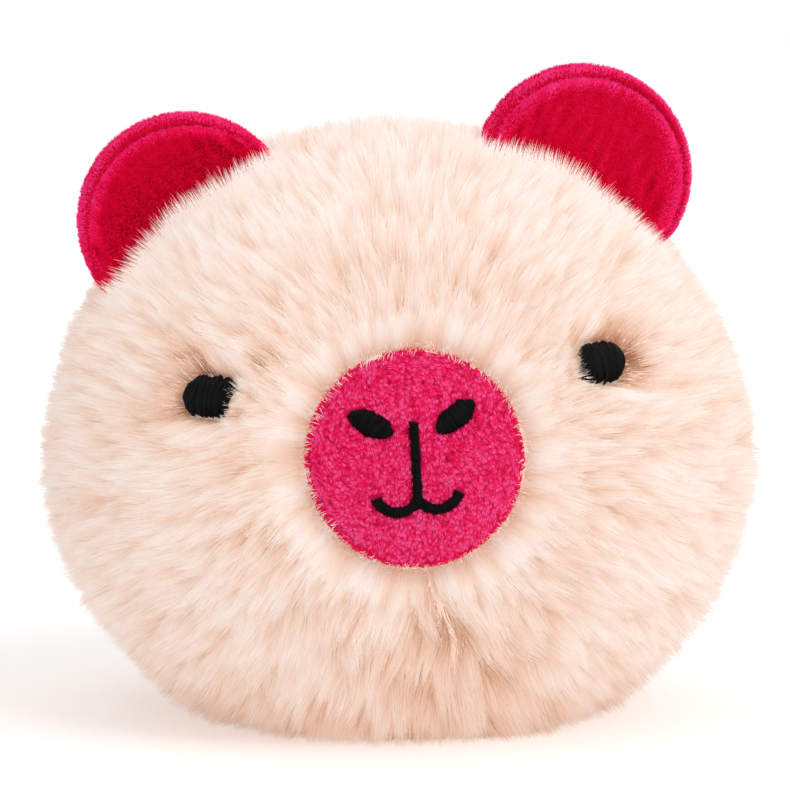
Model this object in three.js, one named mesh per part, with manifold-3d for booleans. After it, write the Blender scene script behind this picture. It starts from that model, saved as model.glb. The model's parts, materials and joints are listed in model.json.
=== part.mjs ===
// Plush capybara head: a hand-sized stuffed ball in a fur cover, with a round plush muzzle,
// embroidered eyes, nostrils and mouth, and two plush ears sewn into the crown seam.
// Millimetres, +Z up. The face looks along -Y. The origin is on the floor, under the middle of the base.

import * as THREE from "three";
import { mergeVertices } from "three/addons/utils/BufferGeometryUtils.js";
import Module from "manifold-3d";

const wasm = await Module();
wasm.setup();

// Head, measured over the lying fur. Its loose tips reach about a millimetre further.
const HEAD_WIDTH = 105.4;
const HEAD_DEPTH = 94;
const HEAD_HEIGHT = 89;
const WIDEST_HEIGHT = 39; // floor to the level where the head is widest
const BASE_WIDTH = 54; // flat patch that the toy sits on
const HEAD_ROLL = 4.6; // degrees that the face leans over, its left ear up
const FUR_DEPTH = 5; // fur fabric: knitted backing and lying pile

// Sewing
const CROWN_SEAM_FORWARD = 6; // crown seam ahead of the middle of the head
const THREAD_DIAMETER = 0.5;
const CLEARANCE = 0.3; // left between neighbouring pieces
const THREAD_TAIL_GAP = 1.2; // between the two ends of a seam that runs all the way round
const CLOSING_START = 5; // degrees below level where the hand-sewn closing of the back seam starts

// Muzzle, a plush disc set into the face
const MUZZLE_DIAMETER = 31.2;
const MUZZLE_THICKNESS = 2.8;
const MUZZLE_BACKING = 0.7; // embroidery stabiliser behind the disc
const MUZZLE_ELEVATION = 6.5; // degrees above the widest level

// Embroidery on the muzzle
const NOSTRIL_LENGTH = 6.4;
const NOSTRIL_WIDTH = 2.9;
const NOSTRIL_SPACING = 11.9;
const NOSTRIL_RISE = 5.4; // above the middle of the muzzle
const NOSTRIL_SLANT = 31; // degrees, outer ends up
const LINE_WIDTH = 1.35; // satin line of the philtrum and the mouth
const PHILTRUM_TOP = 4.7; // above the middle of the muzzle
const MOUTH_DROP = 4.1; // middle of the mouth's two arcs, below the middle of the muzzle
const MOUTH_ARC_RADIUS = 3.4;
const MOUTH_ARC_SPACING = 5.9; // between the middles of the two arcs
const MOUTH_CORNER = 25; // degrees below level where an arc ends
const STITCH_PROUD = 0.5; // embroidery above the plush
const STITCH_SUNK = 0.7; // embroidery below the plush

// Eyes, satin patches sewn through the fur
const EYE_WIDTH = 7.6;
const EYE_HEIGHT = 5.7;
const EYE_CORNER = 2.3; // radius of a patch's rounded corners
const EYE_THICKNESS = 1.7;
const EYE_SEAT = 1.6; // fabric left under the stitches
const EYE_AZIMUTH = 38; // degrees either side of straight ahead
const EYE_ELEVATION = 18.8; // degrees above the widest level

// Ears, half discs of two plush panels over wadding
const EAR_DIAMETER = 32.4;
const EAR_PANEL = 1.7;
const EAR_WADDING = 1.0;
const EAR_ANGLE = 34.9; // degrees from the top of the head, on a ball stretched to the head's width
const EAR_SINK_LEFT = 2.7; // middle of the ear's disc below the fur's surface
const EAR_SINK_RIGHT = 0;
const EAR_SEAM_INSET = 2.3; // seam to the edge, on the ear's front
const EAR_ROOT_WIDTH = 24; // tab of the ear that is caught in the crown seam
const EAR_ROOT_THICKNESS = 1.6;
const EAR_SWING = 70; // degrees that an ear folds forwards or backwards

// How finely the round shapes are divided
const HEAD_SIDES = 32;
const HEAD_UPPER_STEPS = 7;
const HEAD_LOWER_STEPS = 4;
const EAR_SIDES = 24;
const EAR_EDGE_STEPS = 4;
const EAR_FULLNESS = 8; // exponent of the ear's pillow section
const THREAD_SIDES = 5;
const SEAM_STEP = 9; // degrees between the points of a long seam
const MUZZLE_SEAM_STEP = 15;
const DISC_SEGMENTS = 16; // in half of a disc's outline
const PATCH_SEGMENTS = 7; // in half of a nostril's outline
const CORNER_SEGMENTS = 2; // in half of an eye's corner
const LINE_SEGMENTS = 2; // in half of each arc of a satin line
const CUT_STEP = 35; // degrees between the ear positions that shape its root

// Values that follow from those above
const THREAD_RADIUS = THREAD_DIAMETER / 2;
const CHANNEL_RADIUS = THREAD_RADIUS + CLEARANCE;
const SEAM_INSET = FUR_DEPTH - CLEARANCE - CHANNEL_RADIUS;
const ROOT_INSET = SEAM_INSET - CHANNEL_RADIUS - CLEARANCE;
const STUFFING_INSET = FUR_DEPTH + CLEARANCE;
const MUZZLE_UNDERSIDE = FUR_DEPTH - MUZZLE_BACKING - CLEARANCE;
const MUZZLE_RECESS = MUZZLE_UNDERSIDE - MUZZLE_THICKNESS;
const EYE_UNDERSIDE = FUR_DEPTH - EYE_SEAT - CLEARANCE;
const EYE_RECESS = EYE_UNDERSIDE - EYE_THICKNESS;
const EAR_RADIUS = EAR_DIAMETER / 2;
const EAR_HALF_THICKNESS = EAR_PANEL + CLEARANCE + EAR_WADDING / 2;
const EAR_SEAM_RADIUS = EAR_RADIUS - EAR_SEAM_INSET;
const MUZZLE_RADIUS = MUZZLE_DIAMETER / 2;
const LOWER_HEIGHT = WIDEST_HEIGHT / Math.sqrt(1 - (BASE_WIDTH / HEAD_WIDTH) ** 2);
const REACH = 2 * Math.max(HEAD_WIDTH, HEAD_DEPTH, HEAD_HEIGHT); // past every piece
const PRISM_REACH = HEAD_DEPTH / 4; // a feature's cutter, either side of the fur's surface

const radians = THREE.MathUtils.degToRad;
const headMiddle = new THREE.Vector3(0, 0, WIDEST_HEIGHT);

// Materials
function plush(color, roughness) {
  return new THREE.MeshStandardMaterial({ color, roughness, metalness: 0 });
}
const furFabric = plush(0xf7e4d8, 0.95);
const pinkPlush = plush(0xd81452, 0.9);
const blackThread = plush(0x0b0b0c, 0.55);
const paleThread = plush(0xf2ded2, 0.7);
const pinkThread = plush(0xc01048, 0.7);
const whiteFill = plush(0xf4f2ee, 1);

// Turns a closed three.js geometry into a solid, without the flat triangles that a lathe leaves on its axis.
function solidOf(geometry) {
  const bare = new THREE.BufferGeometry().setAttribute("position", geometry.getAttribute("position"));
  if (geometry.index) bare.setIndex(geometry.index);
  const merged = mergeVertices(bare, 1e-4);
  const corners = merged.index.array;
  const kept = [];
  for (let i = 0; i < corners.length; i += 3) {
    const [a, b, c] = corners.slice(i, i + 3);
    if (a !== b && b !== c && c !== a) kept.push(a, b, c);
  }
  const vertProperties = new Float32Array(merged.getAttribute("position").array);
  const triVerts = new Uint32Array(kept);
  return new wasm.Manifold(new wasm.Mesh({ numProp: 3, vertProperties, triVerts }));
}

function geometryOf(solid) {
  const mesh = solid.getMesh();
  const geometry = new THREE.BufferGeometry();
  geometry.setAttribute("position", new THREE.BufferAttribute(mesh.vertProperties, 3));
  geometry.setIndex(new THREE.BufferAttribute(mesh.triVerts, 1));
  geometry.computeVertexNormals();
  return geometry;
}

function moved(solid, matrix) {
  return solidOf(geometryOf(solid).applyMatrix4(matrix));
}

// A box between two corners.
function block(low, high) {
  const size = high.clone().sub(low);
  const middle = low.clone().add(high).multiplyScalar(0.5);
  return new THREE.BoxGeometry(size.x, size.y, size.z).translate(middle.x, middle.y, middle.z);
}

// The head's semi-axes at a depth below the surface of the fur.
function headAxes(inset) {
  return {
    across: HEAD_WIDTH / 2 - inset,
    along: HEAD_DEPTH / 2 - inset,
    up: HEAD_HEIGHT - WIDEST_HEIGHT - inset,
    down: LOWER_HEIGHT - inset,
  };
}

// The head as a solid, a ball of two half ellipsoids with a flat base, at a depth below the surface of the fur.
function headSolid(inset) {
  const { across, along, up, down } = headAxes(inset);
  const baseAngle = Math.asin((WIDEST_HEIGHT - inset) / down);
  const profile = [new THREE.Vector2(0, inset)];
  for (let i = HEAD_LOWER_STEPS; i > 0; i--) {
    const a = (baseAngle * i) / HEAD_LOWER_STEPS;
    profile.push(new THREE.Vector2(across * Math.cos(a), WIDEST_HEIGHT - down * Math.sin(a)));
  }
  for (let i = 0; i < HEAD_UPPER_STEPS; i++) {
    const a = ((Math.PI / 2) * i) / HEAD_UPPER_STEPS;
    profile.push(new THREE.Vector2(across * Math.cos(a), WIDEST_HEIGHT + up * Math.sin(a)));
  }
  profile.push(new THREE.Vector2(0, WIDEST_HEIGHT + up));
  const lathe = new THREE.LatheGeometry(profile, HEAD_SIDES);
  return solidOf(lathe.rotateX(Math.PI / 2).scale(1, along / across, 1));
}

// Where a ray from the middle of the head leaves it, at a depth below the surface of the fur.
function onHead(direction, inset) {
  const { across, along, up, down } = headAxes(inset);
  const d = direction.clone().normalize();
  const s = 1 / Math.hypot(d.x / across, d.y / along, d.z / (d.z > 0 ? up : down));
  const toBase = d.z < 0 ? (inset - WIDEST_HEIGHT) / d.z : Infinity;
  return d.multiplyScalar(Math.min(s, toBase)).add(headMiddle);
}

function headNormal(point) {
  const { across, along, up, down } = headAxes(0);
  const p = point.clone().sub(headMiddle);
  const tall = p.z > 0 ? up : down;
  return new THREE.Vector3(p.x / across ** 2, p.y / along ** 2, p.z / tall ** 2).normalize();
}

// The layer of the head between two depths.
function headLayer(outer, inner) {
  return headSolid(outer).subtract(headSolid(inner));
}

// The head's own frame leans over by its roll. Directions are turned with it.
const lean = new THREE.Group();
lean.position.copy(headMiddle);
lean.rotation.y = -radians(HEAD_ROLL);
lean.updateMatrixWorld(true);

function leaning(x, y, z) {
  return new THREE.Vector3(x, y, z).applyQuaternion(lean.quaternion);
}

// A frame on the fur's surface, looking out, for a feature at an azimuth and elevation in the head's own frame.
function faceFrame(azimuth, elevation) {
  const level = Math.cos(radians(elevation));
  const direction = leaning(
    Math.sin(radians(azimuth)) * level,
    -Math.cos(radians(azimuth)) * level,
    Math.sin(radians(elevation)),
  );
  const point = onHead(direction, 0);
  const out = headNormal(point);
  const right = leaning(0, 0, 1).cross(out).normalize();
  const up = out.clone().cross(right);
  const frame = new THREE.Group();
  frame.position.copy(point);
  frame.quaternion.setFromRotationMatrix(new THREE.Matrix4().makeBasis(right, up, out));
  frame.updateMatrixWorld(true);
  return frame;
}

// A cutter with this outline, running in and out along a frame.
function prism(shape, frame, curveSegments) {
  const settings = { depth: 2 * PRISM_REACH, bevelEnabled: false, curveSegments };
  const geometry = new THREE.ExtrudeGeometry(shape, settings).translate(0, 0, -PRISM_REACH);
  return solidOf(geometry.applyMatrix4(frame.matrixWorld));
}

function ellipse(x, y, length, width, slant = 0) {
  return new THREE.Shape().absellipse(x, y, length / 2, width / 2, 0, 2 * Math.PI, false, slant);
}

// A patch with rounded corners.
function roundedPatch(width, height, corner) {
  const x = width / 2 - corner;
  const y = height / 2 - corner;
  const shape = new THREE.Shape();
  shape.absarc(x, y, corner, 0, Math.PI / 2);
  shape.absarc(-x, y, corner, Math.PI / 2, Math.PI);
  shape.absarc(-x, -y, corner, Math.PI, 1.5 * Math.PI);
  shape.absarc(x, -y, corner, 1.5 * Math.PI, 2 * Math.PI);
  return shape;
}

// A straight satin line with round ends, from one height to another.
function uprightLine(bottom, top, width) {
  const r = width / 2;
  const shape = new THREE.Shape();
  shape.absarc(0, top - r, r, 0, Math.PI);
  shape.absarc(0, bottom + r, r, Math.PI, 2 * Math.PI);
  return shape;
}

// A curved satin line with round ends, along an arc.
function curvedLine(x, y, radius, from, to, width) {
  const r = width / 2;
  const cap = (angle) => [x + radius * Math.cos(angle), y + radius * Math.sin(angle)];
  const shape = new THREE.Shape();
  shape.absarc(x, y, radius + r, from, to);
  shape.absarc(...cap(to), r, to, to + Math.PI);
  shape.absarc(x, y, radius - r, to, from, true);
  shape.absarc(...cap(from), r, from + Math.PI, from + 2 * Math.PI);
  return shape;
}

// A tube along a list of points.
function tube(points, radius) {
  const shape = new THREE.Shape();
  for (let i = 0; i < THREAD_SIDES; i++) {
    const a = (2 * Math.PI * i) / THREAD_SIDES;
    shape[i ? "lineTo" : "moveTo"](radius * Math.cos(a), radius * Math.sin(a));
  }
  const extrudePath = new THREE.CatmullRomCurve3(points);
  return solidOf(new THREE.ExtrudeGeometry(shape, { extrudePath, steps: points.length, bevelEnabled: false }));
}

// Puts a solid into a group as a named mesh, placed by that group.
function place(group, name, solid, material) {
  const geometry = geometryOf(solid).applyMatrix4(group.matrixWorld.clone().invert());
  const mesh = new THREE.Mesh(geometry, material);
  mesh.name = name;
  group.add(mesh);
}

const toy = new THREE.Group();
toy.name = "plush_capybara";
const sides = { left: -1, right: 1 }; // as seen from the front

// Seams. Each is a list of points on the backing, in the plane that the seam is cut in.
function seamPoints(from, to, step, pointAt) {
  const steps = Math.ceil(Math.abs(to - from) / step);
  return Array.from({ length: steps + 1 }, (_, i) => pointAt(from + ((to - from) * i) / steps));
}

// Round the head over the crown, from one side of its lowest point to the other.
const crownHalfGap = THREE.MathUtils.radToDeg(THREAD_TAIL_GAP / 2 / WIDEST_HEIGHT);
const crownSeam = seamPoints(-180 + crownHalfGap, 180 - crownHalfGap, SEAM_STEP, (degrees) => {
  const { across, along, up, down } = headAxes(SEAM_INSET);
  const shrink = Math.sqrt(1 - (CROWN_SEAM_FORWARD / along) ** 2);
  const x = Math.sin(radians(degrees));
  const z = Math.cos(radians(degrees));
  const s = shrink / Math.hypot(x / across, z / (z > 0 ? up : down));
  const toBase = z < 0 ? (SEAM_INSET - WIDEST_HEIGHT) / z : Infinity;
  const out = Math.min(s, toBase);
  return new THREE.Vector3(x * out, -CROWN_SEAM_FORWARD, WIDEST_HEIGHT + z * out);
});

// Seams in the head's middle plane, by the angle from straight ahead, going over the top.
function middleSeam(from, to) {
  return seamPoints(from, to, SEAM_STEP, (degrees) => {
    const direction = leaning(0, -Math.cos(radians(degrees)), Math.sin(radians(degrees)));
    return onHead(direction, SEAM_INSET);
  });
}
// The crown seam's own angle at the top and at the base, and room for a thread beside it.
const crownTop = 90 - THREE.MathUtils.radToDeg(Math.atan2(CROWN_SEAM_FORWARD, HEAD_HEIGHT - WIDEST_HEIGHT));
const crownBase = 90 - THREE.MathUtils.radToDeg(Math.atan2(CROWN_SEAM_FORWARD, WIDEST_HEIGHT));
const besideCrown = THREE.MathUtils.radToDeg((THREAD_DIAMETER + 2 * CLEARANCE) / (WIDEST_HEIGHT - FUR_DEPTH));
const besideThread = THREE.MathUtils.radToDeg((2 * CLEARANCE) / (HEAD_DEPTH / 2));
const muzzleHalfAngle = THREE.MathUtils.radToDeg(Math.asin(MUZZLE_RADIUS / (HEAD_DEPTH / 2 - FUR_DEPTH)));
const besideMuzzle = THREE.MathUtils.radToDeg((2 * CHANNEL_RADIUS) / (HEAD_DEPTH / 2 - FUR_DEPTH));
const backSeam = middleSeam(crownTop + besideCrown, 180 + CLOSING_START);
const closingSeam = middleSeam(180 + CLOSING_START + besideThread, 360 - crownBase - besideCrown);
const chinSeam = middleSeam(MUZZLE_ELEVATION - muzzleHalfAngle - besideMuzzle, -crownBase + besideCrown);

// Round the rim of the muzzle.
const muzzle = faceFrame(0, MUZZLE_ELEVATION);
const muzzleSeamRadius = MUZZLE_RADIUS + CLEARANCE / 2;
const muzzleHalfGap = THREE.MathUtils.radToDeg(THREAD_TAIL_GAP / 2 / muzzleSeamRadius);
const muzzleSeam = seamPoints(90 + muzzleHalfGap, 450 - muzzleHalfGap, MUZZLE_SEAM_STEP, (degrees) => {
  const { across, along, up, down } = headAxes(SEAM_INSET);
  const rim = new THREE.Vector3(Math.cos(radians(degrees)), Math.sin(radians(degrees)), 0);
  const start = rim.multiplyScalar(muzzleSeamRadius).applyMatrix4(muzzle.matrixWorld).sub(headMiddle);
  const inwards = new THREE.Vector3(0, 0, -1).applyQuaternion(muzzle.quaternion);
  const tall = start.z > 0 ? up : down;
  const scale = new THREE.Vector3(1 / across, 1 / along, 1 / tall);
  const p = start.clone().multiply(scale);
  const d = inwards.clone().multiply(scale);
  const half = p.dot(d) / d.lengthSq();
  const t = -half - Math.sqrt(half ** 2 - (p.lengthSq() - 1) / d.lengthSq());
  return start.addScaledVector(inwards, t).add(headMiddle);
});

const seams = {
  crown_seam_thread: [crownSeam, paleThread],
  back_seam_thread: [backSeam, paleThread],
  closing_thread: [closingSeam, paleThread],
  chin_seam_thread: [chinSeam, paleThread],
  muzzle_seam_thread: [muzzleSeam, pinkThread],
};
const channels = Object.values(seams).map(([points]) => tube(points, CHANNEL_RADIUS));

// Ear frames stand on the fur's surface in the plane of the crown seam, with the fold line along X.
function earFrame(side) {
  const { across, along, up } = headAxes(0);
  const angle = side * radians(EAR_ANGLE) - radians(HEAD_ROLL);
  const shrink = Math.sqrt(1 - (CROWN_SEAM_FORWARD / along) ** 2);
  const x = across * shrink * Math.sin(angle);
  const z = up * shrink * Math.cos(angle);
  const facing = Math.atan2(x / across ** 2, z / up ** 2);
  const lift = EAR_HALF_THICKNESS + CLEARANCE;
  const frame = new THREE.Group();
  frame.position.set(
    x + lift * Math.sin(facing),
    -CROWN_SEAM_FORWARD,
    WIDEST_HEIGHT + z + lift * Math.cos(facing),
  );
  frame.rotation.y = facing;
  frame.updateMatrixWorld(true);
  return frame;
}
const earFrames = Object.fromEntries(Object.entries(sides).map(([side, sign]) => [side, earFrame(sign)]));

// The tab of an ear in the crown seam, and the slot that it lies in.
function earRootBar(side, room) {
  const wide = EAR_ROOT_WIDTH / 2 + room;
  const thick = EAR_ROOT_THICKNESS / 2 + room;
  const low = new THREE.Vector3(-wide, -thick, -PRISM_REACH);
  return solidOf(block(low, low.clone().negate()).applyMatrix4(earFrames[side].matrixWorld));
}
function earRoot(side) {
  return headLayer(0, ROOT_INSET).intersect(earRootBar(side, 0));
}
function earSlot(side) {
  return earRootBar(side, CLEARANCE).subtract(headSolid(ROOT_INSET + CLEARANCE));
}

// Eyes: a patch of stitches, and the pocket that it presses into the fur.
const eyes = Object.fromEntries(
  Object.entries(sides).map(([side, sign]) => [side, faceFrame(sign * EYE_AZIMUTH, EYE_ELEVATION)]),
);
function eyePatch(side) {
  const outline = roundedPatch(EYE_WIDTH, EYE_HEIGHT, EYE_CORNER);
  return headLayer(EYE_RECESS, EYE_UNDERSIDE).intersect(prism(outline, eyes[side], CORNER_SEGMENTS));
}
function eyePocket(side) {
  const room = 2 * CLEARANCE;
  const outline = roundedPatch(EYE_WIDTH + room, EYE_HEIGHT + room, EYE_CORNER + CLEARANCE);
  return prism(outline, eyes[side], CORNER_SEGMENTS).subtract(headSolid(EYE_UNDERSIDE + CLEARANCE));
}

// Embroidery of the muzzle, as outlines that can be drawn a little larger for their pockets.
const mouthBottom = -MOUTH_DROP - Math.sqrt(MOUTH_ARC_RADIUS ** 2 - (MOUTH_ARC_SPACING / 2) ** 2);
const muzzleLines = {
  philtrum: (room) =>
    uprightLine(mouthBottom - LINE_WIDTH / 2 - room, PHILTRUM_TOP + room, LINE_WIDTH + 2 * room),
};
for (const [side, sign] of Object.entries(sides)) {
  muzzleLines[`nostril_${side}`] = (room) =>
    ellipse(
      (sign * NOSTRIL_SPACING) / 2,
      NOSTRIL_RISE,
      NOSTRIL_LENGTH + 2 * room,
      NOSTRIL_WIDTH + 2 * room,
      sign * radians(NOSTRIL_SLANT),
    );
  const inner = Math.acos(MOUTH_ARC_SPACING / 2 / MOUTH_ARC_RADIUS);
  const outer = radians(MOUTH_CORNER);
  const [from, to] = sign > 0 ? [-Math.PI + inner, -outer] : [-Math.PI + outer, -inner];
  muzzleLines[`mouth_${side}`] = (room) =>
    curvedLine((sign * MOUTH_ARC_SPACING) / 2, -MOUTH_DROP, MOUTH_ARC_RADIUS, from, to, LINE_WIDTH + 2 * room);
}

// Fur cover: a face panel with a chin seam, and two back panels.
const cover = headLayer(0, FUR_DEPTH);
const seamHalf = CLEARANCE / 2;
const ahead = block(
  new THREE.Vector3(-REACH, -REACH, -REACH),
  new THREE.Vector3(REACH, -CROWN_SEAM_FORWARD - seamHalf, REACH),
);
const chinSlit = block(new THREE.Vector3(-seamHalf, -REACH, -REACH), new THREE.Vector3(seamHalf, 0, 0));
const muzzleHole = ellipse(0, 0, MUZZLE_DIAMETER + 2 * CLEARANCE, MUZZLE_DIAMETER + 2 * CLEARANCE);
let facePanel = cover
  .intersect(solidOf(ahead))
  .subtract(solidOf(chinSlit.applyMatrix4(lean.matrixWorld)))
  .subtract(prism(muzzleHole, muzzle, DISC_SEGMENTS));
const backPanels = {};
for (const [side, sign] of Object.entries(sides)) {
  const half = [sign * seamHalf, sign * REACH].sort((a, b) => a - b);
  const behind = block(
    new THREE.Vector3(half[0], -CROWN_SEAM_FORWARD + seamHalf, -REACH),
    new THREE.Vector3(half[1], REACH, REACH),
  );
  backPanels[side] = cover.intersect(solidOf(behind.applyMatrix4(lean.matrixWorld)));
  facePanel = facePanel.subtract(eyePocket(side));
}
for (const cut of [...channels, ...Object.keys(sides).map(earSlot)]) {
  facePanel = facePanel.subtract(cut);
  for (const side of Object.keys(sides)) backPanels[side] = backPanels[side].subtract(cut);
}
place(toy, "face_panel", facePanel, furFabric);
for (const side of Object.keys(sides)) place(toy, `back_panel_${side}`, backPanels[side], furFabric);
place(toy, "stuffing", headSolid(STUFFING_INSET), whiteFill);
for (const [name, [points, material]] of Object.entries(seams)) {
  place(toy, name, tube(points, THREAD_RADIUS), material);
}

// Muzzle: the plush disc with a pocket for each line of stitches, and its stabiliser.
toy.add(muzzle);
let muzzlePanel = headLayer(MUZZLE_RECESS, MUZZLE_UNDERSIDE).intersect(
  prism(ellipse(0, 0, MUZZLE_DIAMETER, MUZZLE_DIAMETER), muzzle, DISC_SEGMENTS),
);
for (const channel of channels) muzzlePanel = muzzlePanel.subtract(channel);
const stitchLayer = headLayer(MUZZLE_RECESS - STITCH_PROUD, MUZZLE_RECESS + STITCH_SUNK);
const stitchFloor = headSolid(MUZZLE_RECESS + STITCH_SUNK + CLEARANCE);
const besidePhiltrum = prism(muzzleLines.philtrum(CLEARANCE), muzzle, LINE_SEGMENTS);
for (const [name, outline] of Object.entries(muzzleLines)) {
  const segments = name.startsWith("nostril") ? PATCH_SEGMENTS : LINE_SEGMENTS;
  muzzlePanel = muzzlePanel.subtract(prism(outline(CLEARANCE), muzzle, segments).subtract(stitchFloor));
  let stitches = stitchLayer.intersect(prism(outline(0), muzzle, segments));
  if (name.startsWith("mouth")) stitches = stitches.subtract(besidePhiltrum);
  place(muzzle, name, stitches, blackThread);
}
place(muzzle, "muzzle_panel", muzzlePanel, pinkPlush);
const stabiliserWidth = MUZZLE_DIAMETER - 2 * (CHANNEL_RADIUS + CLEARANCE);
const stabiliser = prism(ellipse(0, 0, stabiliserWidth, stabiliserWidth), muzzle, DISC_SEGMENTS);
const stabiliserLayer = headLayer(FUR_DEPTH - MUZZLE_BACKING, FUR_DEPTH);
place(muzzle, "muzzle_stabiliser", stabiliserLayer.intersect(stabiliser), whiteFill);

for (const side of Object.keys(sides)) {
  toy.add(eyes[side]);
  place(eyes[side], `eye_${side}`, eyePatch(side), blackThread);
}

// Ears. An ear is a round pillow, and its lower half is cut away by the head.
function earPillow(inset) {
  const radius = EAR_RADIUS - inset;
  const half = EAR_HALF_THICKNESS - inset;
  const edge = [];
  for (let i = 1; i < EAR_EDGE_STEPS; i++) {
    const y = Math.sin((Math.PI / 2) * (i / EAR_EDGE_STEPS));
    edge.push([radius * (1 - y ** 2) ** (1 / EAR_FULLNESS), half * y]);
  }
  const front = edge.map(([r, y]) => new THREE.Vector2(r, -y)).reverse();
  const back = edge.map(([r, y]) => new THREE.Vector2(r, y));
  const profile = [
    new THREE.Vector2(0, -half),
    ...front,
    new THREE.Vector2(radius, 0),
    ...back,
    new THREE.Vector2(0, half),
  ];
  return solidOf(new THREE.LatheGeometry(profile, EAR_SIDES));
}

// The space in front of an ear's middle plane, inside a radius.
function earFront(radius) {
  const disc = new THREE.CylinderGeometry(radius, radius, EAR_RADIUS, EAR_SIDES);
  return solidOf(disc.translate(0, -EAR_RADIUS / 2, 0));
}

// The head as an ear meets it while it folds, so that the ear's root stays clear of the fur.
function sweptHead(frame) {
  const head = geometryOf(headSolid(-CLEARANCE)).applyMatrix4(frame.matrixWorld.clone().invert());
  let swept = solidOf(head);
  const turns = Math.ceil((2 * EAR_SWING) / CUT_STEP);
  for (let i = 0; i <= turns; i++) {
    const turn = radians(-EAR_SWING + (2 * EAR_SWING * i) / turns);
    swept = swept.add(solidOf(head.clone().rotateX(turn)));
  }
  return swept;
}

const earSinks = { left: EAR_SINK_LEFT, right: EAR_SINK_RIGHT };
const seamDepth = EAR_HALF_THICKNESS * Math.sqrt(1 - (EAR_SEAM_RADIUS / EAR_RADIUS) ** EAR_FULLNESS);
const seamRing = new THREE.TorusGeometry(EAR_SEAM_RADIUS, THREAD_RADIUS, THREAD_SIDES, EAR_SIDES);
const earShell = earPillow(0).subtract(earPillow(EAR_PANEL));
const earPieces = {
  front_panel: [earShell.intersect(earFront(EAR_SEAM_RADIUS - CHANNEL_RADIUS)), pinkPlush],
  back_panel: [earShell.subtract(earFront(EAR_SEAM_RADIUS + CHANNEL_RADIUS)), pinkPlush],
  wadding: [earPillow(EAR_PANEL + CLEARANCE), whiteFill],
  seam_thread: [solidOf(seamRing.rotateX(Math.PI / 2).translate(0, EAR_PANEL / 2 - seamDepth, 0)), pinkThread],
};
for (const side of Object.keys(sides)) {
  const frame = earFrames[side];
  const head = sweptHead(frame);
  const drop = EAR_HALF_THICKNESS + CLEARANCE + earSinks[side];
  const lowered = new THREE.Matrix4().makeTranslation(0, 0, -drop);
  toy.add(frame);
  for (const [name, [piece, material]] of Object.entries(earPieces)) {
    const cut = moved(piece, lowered).subtract(head);
    place(frame, `ear_${side}_${name}`, moved(cut, frame.matrixWorld), material);
  }
  place(frame, `ear_${side}_root`, earRoot(side), pinkPlush);
}

export default toy;
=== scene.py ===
"""Plush capybara head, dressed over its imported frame: cream fur, pink plush, satin stitches and a studio.

Shapes are worked out in millimetres, in the frame's own axes, and become metres when a mesh is made.
"""

import json
import math

import bpy
import numpy as np
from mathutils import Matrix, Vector
from mathutils.kdtree import KDTree


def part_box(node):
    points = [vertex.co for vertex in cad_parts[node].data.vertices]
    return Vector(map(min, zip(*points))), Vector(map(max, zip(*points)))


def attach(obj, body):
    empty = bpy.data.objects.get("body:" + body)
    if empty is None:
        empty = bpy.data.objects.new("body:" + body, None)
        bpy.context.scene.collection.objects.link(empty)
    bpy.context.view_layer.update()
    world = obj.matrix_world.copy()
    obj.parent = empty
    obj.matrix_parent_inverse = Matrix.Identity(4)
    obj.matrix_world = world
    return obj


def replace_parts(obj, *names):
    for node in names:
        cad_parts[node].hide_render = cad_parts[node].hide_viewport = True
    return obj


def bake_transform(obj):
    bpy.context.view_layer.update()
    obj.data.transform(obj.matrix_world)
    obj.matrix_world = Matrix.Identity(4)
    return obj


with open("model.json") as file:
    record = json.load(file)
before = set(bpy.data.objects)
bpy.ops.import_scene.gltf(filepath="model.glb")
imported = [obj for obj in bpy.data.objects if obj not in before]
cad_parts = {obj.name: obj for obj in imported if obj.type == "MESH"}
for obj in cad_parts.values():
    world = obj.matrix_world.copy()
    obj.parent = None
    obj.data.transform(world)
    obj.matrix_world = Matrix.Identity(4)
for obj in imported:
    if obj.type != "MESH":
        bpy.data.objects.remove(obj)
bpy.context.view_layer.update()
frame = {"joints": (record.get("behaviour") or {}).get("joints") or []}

MM = 0.001
GOLDEN_TURN = math.pi * (1 + math.sqrt(5))
random = np.random.default_rng(7)

# Head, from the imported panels, whose surface is the lying fur
LOOSE_TIPS = 1.0  # tips of the fur past the panels
PANEL_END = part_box("back_panel_right")[1]
HALF_WIDTH = PANEL_END.x / MM + LOOSE_TIPS
HALF_DEPTH = PANEL_END.y / MM + LOOSE_TIPS
TOP = PANEL_END.z / MM + LOOSE_TIPS
WIDEST = 39.0  # height of the widest level
BASE_WIDTH = 58.0  # of the patch that it sits on
LOWER_HEIGHT = WIDEST / math.sqrt(1 - (BASE_WIDTH / 2 / HALF_WIDTH) ** 2)
HEAD_ROLL = math.radians(4.6)
MIDDLE = np.array([0.0, 0.0, WIDEST])

# Blades, which hairs and plush are made of, with sizes as shares of their half width
BLADE_CORNERS = 3
KEEL = 2  # number of the corner under the broad side
BLADE_KEEL = 0.25
BLADE_TWIST = 0.1
BLADE_ROUND = 0.12  # how round a lying blade is lit
UPRIGHT_ROUND = 1.0  # how round an upright one is lit
LYING = (0.1, 0.7)  # how far over an upright and a lying blade lean, as a sine
BLADE_SIDE = 0.4  # how far a blade is lit as its own broad side, and not as the pile

# The map of colours, from root to tip one way and by tint the other
ROOT_PLACE = 0.25  # where a root that isn't shaded starts
SHADED_TIP = 0.45  # left off the tip of a shaded hair
MAP_MARGIN = 0.02
MAP_WIDTH = 0.004  # half width of a strand on the map
MAP_RISE = 0.01  # of every other corner of a ring

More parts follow.
